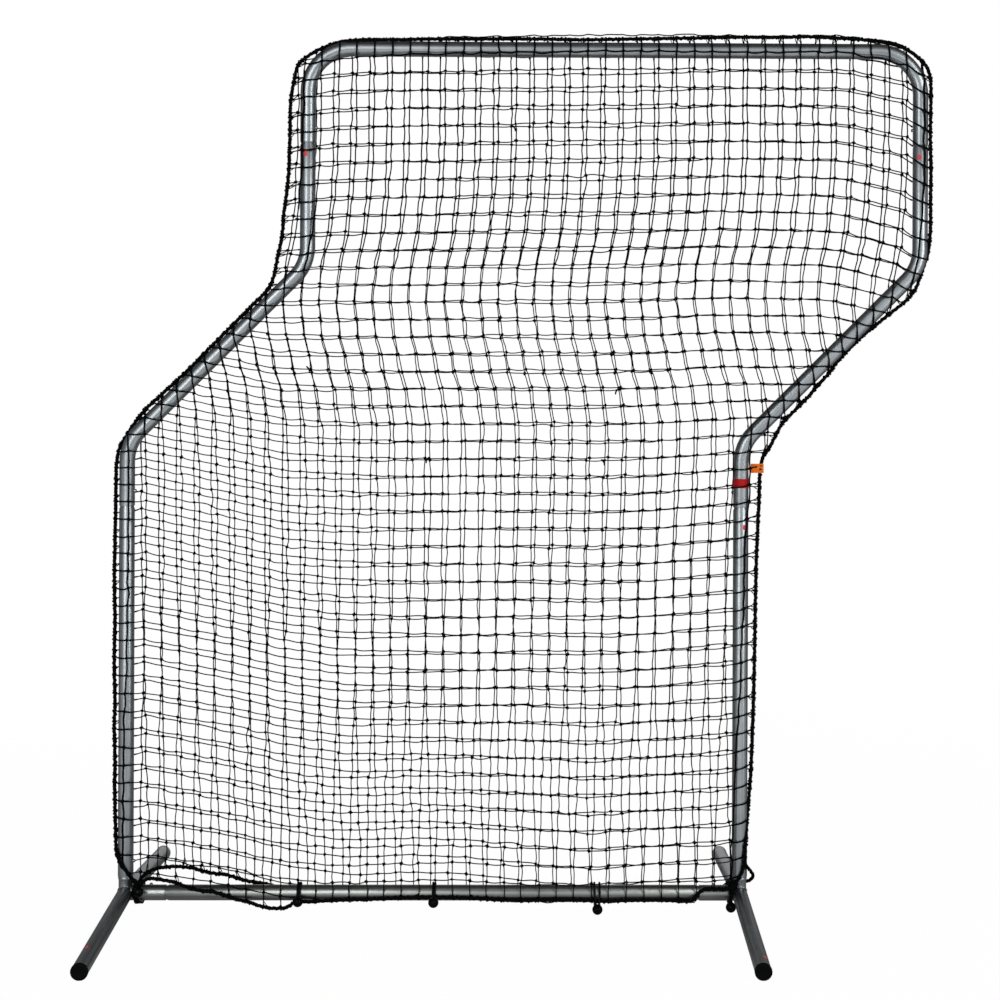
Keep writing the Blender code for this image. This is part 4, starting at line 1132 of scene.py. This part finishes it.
def frame_line():
    """Axis of the frame's tubes, open at the bottom, as an outline in the screen's plane."""
    halves = []
    for lower_x, upper_x, sign in ((LOWER_LEFT, UPPER_LEFT, 1.0), (LOWER_RIGHT, UPPER_RIGHT, -1.0)):
        half = [(lower_x, 0.0, -0.4)]
        half += [(lower_x + across, 0.0, LOWER_ELBOW + up) for across, up in ELBOW_LINE]
        half += [(upper_x - across, 0.0, UPPER_ELBOW - up) for across, up in ELBOW_LINE[::-1]]
        half += [(upper_x + sign * across, 0.0, TOP_AXIS - down) for across, down in ARCH_LINE]
        halves.append(half)
    return Outline(halves[0] + halves[1][::-1])


def layer_outline(layer):
    """Border rope and the layer's own hem rope, which the layer is laced to."""
    border = smooth_route(path_of(BORDER_ROUTE), 0.012)
    hem = smooth_route(path_of(FRONT_HEM_ROUTE if layer == "front" else REAR_HEM_ROUTE), 0.012)
    if layer == "back":
        border = [p for p in border if p.z > AXIS_HEIGHT + 0.17]
    return Outline(border + hem[::-1])


def tube_gap(tubes, x, z):
    """Distance to the nearest tube of the frame or to the crossbar."""
    return min(tubes.nearest(x, z)[0], abs(z - AXIS_HEIGHT))


def layer_depth(x, z, outline, tubes, sign):
    """Depth of the net: flat behind or in front of the tubes, then round a tube to the rope."""
    gap = tube_gap(tubes, x, z)
    inside = tubes.holds(x, z) and z > AXIS_HEIGHT
    clear = NET_DEPTH + NET_CLEAR * max(0.0, 1.0 - gap / NET_REACH)
    if inside:
        slack = min(1.0, max(0.0, gap - NET_REACH) / 0.25)
        return sign * (clear - NET_SAG * slack)
    rope_gap, rope_depth = outline.nearest(x, z)
    round_tube = NET_DEPTH + NET_CLEAR
    reach = max(gap + rope_gap, round_tube + 0.001)
    touch = round_tube**2 / reach
    if gap < touch:
        return sign * sqrt(round_tube**2 - gap**2)
    high = sqrt(round_tube**2 - touch**2)
    share = (gap - touch) / max(reach - touch, 1e-6)
    return sign * high * (1 - share) + rope_depth * share


def soft_run(start, end, lean_start, lean_end, parts):
    """Points from one knot up to the next. The twine leaves and reaches the knots at its own leans."""
    run = end - start
    leave = run * complex(cos(lean_start), sin(lean_start))
    arrive = run * complex(cos(lean_end), sin(lean_end))
    points = []
    for part in range(parts):
        t = part / parts
        point = start * (2 * t**3 - 3 * t**2 + 1) + leave * (t**3 - 2 * t**2 + t)
        point += end * (3 * t**2 - 2 * t**3) + arrive * (t**3 - t**2)
        points.append(point)
    return points


def cut_strand(line, outline):
    """The part of a line inside the ropes, with its ends run on to the ropes."""
    kept = [outline.holds(point.real, point.imag) for point in line]
    if not any(kept):
        return [], False, False
    first = kept.index(True)
    last = len(kept) - 1 - kept[::-1].index(True)
    route = line[first : last + 1]
    met = [False, False]
    for number, (inner, outer) in enumerate(((first, first - 1), (last, last + 1))):
        if outer < 0 or outer >= len(line):
            continue
        near, far = line[inner], line[outer]
        for halving in range(10):
            middle = (near + far) / 2
            if outline.holds(middle.real, middle.imag):
                near = middle
            else:
                far = middle
        route = [near] + route if number == 0 else route + [near]
        met[number] = True
    return route, met[0], met[1]


def finer_round_tubes(line, tubes):
    """The same line with more points where it bends round a tube."""
    finer = [line[0]]
    for start, end in zip(line, line[1:]):
        middle = (start + end) / 2
        bends = tube_gap(tubes, middle.real, middle.imag) < TUBE_BEND
        for share in (1 / 3, 2 / 3, 1.0) if bends else (1.0,):
            finer.append(start + (end - start) * share)
    return finer


FIELDS = (("upper", -17, -4), ("slanted", -4, 6), ("lower", 6, 35))


def net_layer(layer, sign, swing, lift, widen, seed):
    """One layer of the net in its three fields: rows and columns of twine that meet in knots."""
    dice = random.Random(seed)
    outline = layer_outline(layer)
    tubes = frame_line()
    columns = range(-25, 26)
    rows = range(-17, 35)
    spots = {}
    leans = {}
    for column in columns:
        for row in rows:
            x, z = net_spot(column, row, swing, lift, widen)
            spots[column, row] = complex(x + dice.gauss(0.0, 0.0008), z + dice.gauss(0.0, 0.0008))
            leans[column, row] = dice.gauss(0.0, 0.13)

    def place(point):
        return Vector((point.real, layer_depth(point.real, point.imag, outline, tubes, sign), point.imag))

    ends = []
    for field, high, low in FIELDS:
        strands = []
        radius = TWINE_RADIUS * (1.06 if field == "upper" else 0.96)
        hang = 0.13 if layer == "front" else 0.07
        chains = []
        for row in range(high, low):
            line = []
            for column in columns[:-1]:
                lean_start = leans[column, row] - hang + dice.gauss(0.0, 0.05)
                lean_end = leans[column + 1, row] + hang + dice.gauss(0.0, 0.05)
                line += soft_run(spots[column, row], spots[column + 1, row], lean_start, lean_end, 4)
            chains.append(line)
        for column in columns:
            line = []
            for row in range(high, min(low, 34)):
                lean_start = leans[column, row] + dice.gauss(0.0, 0.06)
                lean_end = leans[column, row + 1] + dice.gauss(0.0, 0.06)
                line += soft_run(spots[column, row], spots[column, row + 1], lean_start, lean_end, 3)
            line.append(spots[column, min(low, 34)])
            chains.append(line)
        for line in chains:
            flat, met_first, met_last = cut_strand(line, outline)
            if len(flat) < 3:
                continue
            route = [place(point) for point in finer_round_tubes(flat, tubes)]
            if met_first:
                ends.append((route[0], route[min(2, len(route) - 1)]))
            if met_last:
                ends.append((route[-1], route[max(-3, -len(route))]))
            # Twine 1.4 times as thick where it lies on a tube: the extra width is a painted shadow and reflection of
            # the twine on the metal.
            radii = [radius * (1.4 if tubes.nearest(p.x, p.z)[0] < TWINE_SHADOW_GAP else 1.0) for p in route]
            strands.append((route, radii))
        piece = cord_mesh(strands, 1)
        knots = []
        for (column, row), spot in spots.items():
            x, z = spot.real, spot.imag
            if high <= row < low and outline.holds(x, z) and outline.nearest(x, z)[0] > KNOT_ROOM:
                knots.append((place(spot), leans[column, row] + pi / 2 * (row % 2)))
        join(piece, tie_knots(knots, dice, radius))
        name = "net_" + layer + "_" + field
        set_down(piece, name + "_twine", NET_TWINE, name)
    return ends


BIGHTS = (
    ((0.3, -0.2, 3.3), (1.5, -1.1, 1.2), (1.2, -0.7, -1.4), (-1.3, 0.9, -1.2), (-1.5, 1.0, 0.9), (-3.3, 0.2, 0.2)),
    ((-0.3, 0.2, -3.3), (-1.6, -1.2, -1.0), (-1.0, -0.8, 1.5), (1.2, 1.0, 1.3), (1.6, 0.8, -0.9), (3.3, -0.2, -0.2)),
)


def tie_knots(places, dice, radius):
    """Netting knots, two bights hooked into each other, modelled once and copied to every crossing."""
    bights = [([Vector(p) * 0.00105 for p in bight], [radius * 1.12] * len(bight)) for bight in BIGHTS]
    pattern = cord_mesh(bights, 0)
    shape = vertex_places(pattern)
    count = len(shape)
    faces = [tuple(face.vertices) for face in pattern.data.polygons]
    all_spots = []
    all_faces = []
    for number, (place, lean) in enumerate(places):
        size = dice.uniform(1.04, 1.36)
        turn = np.array(Matrix.Rotation(-lean, 3, "Y"))
        all_spots.append(shape @ turn.T * size + np.array(place))
        all_faces += [tuple(corner + number * count for corner in face) for face in faces]
    bpy.data.objects.remove(pattern)
    mesh = bpy.data.meshes.new("knots")
    mesh.from_pydata(np.concatenate(all_spots).tolist(), [], all_faces)
    return add_object("knots", mesh)


def join(piece, other):
    pick(other, piece)
    bpy.ops.object.join()
    shade(70.0)


def whole_net():
    front = net_layer("front", -1.0, FRONT_SWING, FRONT_LIFT, FRONT_SPREAD, 11)
    back = net_layer("back", 1.0, BACK_SWING, BACK_LIFT, BACK_SPREAD, 12)
    lace(front + back)
    loose_ends()


def lace(ends):
    """Hitches that hold each strand's end to its rope, and the second leg with which it reaches the rope."""
    dice = random.Random(21)
    route = [smooth_route(path_of(line), 0.006) for line in (BORDER_ROUTE, FRONT_HEM_ROUTE, REAR_HEM_ROUTE)]
    starts = np.array([p[:] for line in route for p in line[:-1]])
    runs = np.array([(b - a)[:] for line in route for a, b in zip(line, line[1:])])
    loops = []
    for end, inner in ends:
        share = np.clip(((np.array(end) - starts) * runs).sum(1) / (runs**2).sum(1), 0.0, 1.0)
        feet = starts + runs * share[:, None]
        best = int(np.linalg.norm(feet - np.array(end), axis=1).argmin())
        centre = Vector(feet[best])
        way = Vector(runs[best]).normalized()
        if way.z > 0 or (abs(way.z) < 0.2 and way.x < 0):
            way = -way
        inward = inner - centre
        side = (inward - way * inward.dot(way)).normalized()
        over = way.cross(side)
        ring = ROPE_RADIUS + TWINE_RADIUS * 0.35
        points = []
        for step in range(12):
            angle = 2 * pi * step / 8
            shift = way * (-0.0016 + 0.0032 * step / 11)
            points.append(centre + (side * cos(angle) + over * sin(angle)) * ring + shift)
        loops.append((points, [TWINE_RADIUS * 0.95] * len(points)))
        spread_out = dice.uniform(0.0035, 0.0085)
        second = centre + way * spread_out + side * ROPE_RADIUS * 0.8
        middle = (inner + second) / 2 + way * dice.uniform(0.0004, 0.0016)
        if 0.004 < inward.length < 0.030:
            loops.append(([inner, middle, second], [TWINE_RADIUS * 0.8] * 3))
    set_down(cord_mesh(loops, 0), "net_lacing", NET_TWINE)


LOOSE_ENDS = [
    (0.3120, 1.3546), (0.2292, 1.3047), (0.1953, 1.1288),
    (-0.2388, 1.1331), (-0.5350, 1.3563), (-0.0284, 1.9546),
]
# Points of a loose end: sideways, depth and upwards
TAIL = ((0.004, -0.0180, 0.004), (0.0, -0.0192, 0.0), (-0.003, -0.0208, -0.005), (-0.0035, -0.0200, -0.011))


def loose_ends():
    """Short tails of twine left where a mesh was tied off."""
    dice = random.Random(31)
    tails = []
    for x, z in LOOSE_ENDS:
        lean = dice.choice((-1.0, 1.0))
        points = [Vector((x + lean * side, depth, z + up)) for side, depth, up in TAIL]
        tails.append((points, [0.0019, 0.0024, 0.0021, 0.0017]))
    set_down(cord_mesh(tails, 1), "net_loose_ends", NET_TWINE)


# Lashings and ball ties


def corner_lashing(side, post_x, sign):
    """Turns of rope round the crossbar socket that tie the net's corner down."""
    ring = TUBE_RADIUS + SEAT_GAP + 0.0042
    points = []
    steps = 24
    start, pitch, turns = (0.0240, 0.0042, 2.0) if side == "left" else (0.0222, 0.0030, 1.25)
    for step in range(round(turns * steps) + 1):
        angle = 2 * pi * step / steps
        run = start + pitch * step / steps
        points.append(Vector((post_x + sign * run, -ring * cos(angle), AXIS_HEIGHT + ring * sin(angle))))
    rope = cord_mesh(twisted_rope(points, 0.006, 0.0043, KNOT_PITCH, 8), 1)
    set_down(rope, "lashing_" + side, LASHING_FIBRE, "corner_lashing_" + side)


# Ball ties: the ball's x, depth and rise over the crossbar axis, half the distance between the cord's
# two strands at the ball and over the bar, and the cord's way round as angle and distance from the axis
BAR_WAY = [(8, 0.0264), (30, 0.0244), (60, 0.0241), (90, 0.0241), (130, 0.0241), (170, 0.0243), (198, 0.0275)]
BAR_WAY += [(221, 0.0338), (246, 0.0274), (270, 0.0250), (294, 0.0272), (309, 0.0325), (318, 0.0344)]
LOW_WAY = [(331, 0.0375), (345, 0.0300), (2, 0.0258)] + BAR_WAY[1:10] + [(294, 0.0274), (311, 0.0335)]
CORNER_WAY = [
    (30, 0.0300), (55, 0.0262), (90, 0.0250), (140, 0.0246), (190, 0.0246), (240, 0.0244), (285, 0.0244),
    (318, 0.0272),
]
RIGHT_WAY = [
    (338, 0.0345), (355, 0.0318), (25, 0.0312), (60, 0.0290), (90, 0.0275), (140, 0.0268), (190, 0.0262),
    (240, 0.0262), (280, 0.0272), (300, 0.0305),
]
BALL_TIES = [
    (-0.9438, -0.0400, 0.0134, 0.0027, 0.0027, CORNER_WAY),
    (-0.5534, -0.0365, -0.0119, 0.0025, 0.0027, BAR_WAY),
    (-0.2192, -0.0412, -0.0122, 0.0025, 0.0025, BAR_WAY),
    (0.1852, -0.0365, -0.0304, 0.0022, 0.0062, LOW_WAY),
    (0.5148, -0.0365, -0.0248, 0.0026, 0.0026, RIGHT_WAY),
]
BALL_RADIUS = 0.01275
TIE_CORD_RADIUS = 0.0024


def tie_ball(number, x, depth, rise):
    """Moulded ball with a parting line, and the bore that its cord goes through."""
    rings = [(0.0016, -BALL_RADIUS + 0.0006)]
    for step in range(1, 20):
        angle = pi * step / 20
        radius = BALL_RADIUS + (0.00012 if step == 10 else 0.0)
        rings.append((radius * sin(angle) + 0.00001, -radius * cos(angle)))
    rings[1] = (0.0030, -BALL_RADIUS + 0.0003)
    rings.append((0.0016, BALL_RADIUS - 0.0006))
    ball = turned(rings, 36)
    way = Vector((0.0, -depth, -rise)).normalized()
    stand(ball, (x, depth, AXIS_HEIGHT + rise), way)
    set_down(ball, "ball_" + str(number), BALL_PLASTIC, "tie_ball_" + str(number))


def tie_loop(number, x, depth, rise, half_ball, half_bar, way):
    """Elastic cord, doubled, from its ball over the crossbar, round behind it and back under it to the ball."""
    inside = Vector((0.0, depth * 0.86, rise * 0.86))
    stations = [(inside, half_ball)]
    for index, (angle, reach) in enumerate(way):
        turn = radians(angle)
        spot = Vector((0.0, -reach * cos(turn), reach * sin(turn)))
        share = min(1.0, (index + 1) / 3)
        stations.append((spot, half_ball * (1 - share) + half_bar * share))
    last, half = stations[-1]
    before = stations[-2][0]
    onward = (last - before).normalized()
    there = [spot + Vector((x - wide, 0.0, AXIS_HEIGHT)) for spot, wide in stations]
    back = [spot + Vector((x + wide, 0.0, AXIS_HEIGHT)) for spot, wide in stations]
    points = smooth_route(there, 0.0030)
    for turn in (-45.0, 0.0, 45.0):
        swing = radians(turn)
        points.append(last + onward * half * cos(swing) + Vector((x + half * sin(swing), 0.0, AXIS_HEIGHT)))
    points += smooth_route(back, 0.0030)[::-1]
    dice = random.Random(60 + number)
    loop = cord_mesh([(points, [TIE_CORD_RADIUS * dice.uniform(0.95, 1.05) for point in points])], 2)
    set_down(loop, "loop_" + str(number), TIE_SLEEVE, "tie_loop_" + str(number))


# Small trim


def dot_on_tube(name, place, way, towards, wide, high):
    """Oval dot of red film that lies on a tube: a sleeve round it, cut by an oval bit."""
    place = Vector(place)
    way = Vector(way).normalized()
    sleeve = draw_tube(place - way * 0.02, way, TUBE_RADIUS + 0.0003, [("run", 0.04, 0.0)], 96)[0]
    tube_wall(sleeve, 0.00025)
    pick()
    towards = Vector(towards).normalized()
    turn = towards.to_track_quat("Z", "Y").to_euler()
    outside = place + towards * 0.02
    bpy.ops.mesh.primitive_cylinder_add(vertices=32, radius=1.0, depth=0.03, location=outside, rotation=turn)
    bit = bpy.context.active_object
    across = way.cross(towards).normalized()
    frame_turn = Matrix((across * wide, way * high, towards)).transposed()
    bit.matrix_world = Matrix.Translation(outside) @ frame_turn.to_4x4()
    freeze()
    carve(sleeve, bit, "INTERSECT")
    bpy.data.objects.remove(bit)
    close_up(sleeve)
    set_down(sleeve, name, DOT_RED)


def red_dots():
    for name, post_x, height, sideways, wide, high in (
        ("upper_left", UPPER_LEFT, 1.8866, -0.22, 0.0052, 0.0070),
        ("upper_right", UPPER_RIGHT, 1.8854, -0.36, 0.0052, 0.0070),
        ("lower_right", LOWER_RIGHT, 0.9646, 0.45, 0.0054, 0.0068),
    ):
        dot_on_tube("dot_" + name, (post_x, 0.0, height), UP, (sideways, -1.0, 0.0), wide, high)
    for side, post_x, along, tilt in (
        ("left", LOWER_LEFT, -0.368, -14.0), ("right", LOWER_RIGHT, -0.420, 24.0)
    ):
        lean = radians(tilt)
        place = (post_x, along, AXIS_HEIGHT + along * tan(FOOT_DROOP))
        way = (0.0, -cos(FOOT_DROOP), -sin(FOOT_DROOP))
        out = (sin(lean), 0.0, cos(lean))
        dot_on_tube("dot_foot_" + side, place, way, out, 0.0036, 0.0075)


def build():
    place_camera()
    light_room()
    lay_floor()
    soft_lamp("lamp_left", (-2.05, -4.3, 2.4), (-0.1, 0.0, 1.2), (1.2, 2.9), 40.0)
    soft_lamp("lamp_right", (3.1, -2.6, 2.3), (-0.1, 0.0, 1.2), (1.1, 2.6), 38.0)
    for side, lower_x, upper_x, sign in (
        ("left", LOWER_LEFT, UPPER_LEFT, 1.0), ("right", LOWER_RIGHT, UPPER_RIGHT, -1.0)
    ):
        foot_tube(side, lower_x)
        bit = foot_bit(lower_x)
        base_spigot(side, lower_x, sign, bit)
        crossbar_socket(side, lower_x, sign, bit)
        bpy.data.objects.remove(bit)
        weld_bead(side, lower_x)
        lower_post(side, lower_x, sign)
        side_bend(side, lower_x, upper_x, sign)
        end_cap("front", side, lower_x, -1.0, CAP_BLACK)
        end_cap("rear", side, lower_x, 1.0, CAP_PAINTED_PALE)
        corner_lashing(side, lower_x, sign)
    top_arch()
    crossbar()
    all_buttons()
    all_ropes()
    corner_knots()
    whole_net()
    for number, (x, depth, rise, half_ball, half_bar, way) in enumerate(BALL_TIES, start=1):
        tie_ball(number, x, depth, rise)
        tie_loop(number, x, depth, rise, half_ball, half_bar, way)
    red_dots()
    for name, finish in (("tape_band", TAPE_RED), ("net_tag", TAG_CLOTH)):
        bpy.data.objects[name].material_slots[0].material = finish


build()
bpy.context.scene.view_settings.view_transform = "Standard"
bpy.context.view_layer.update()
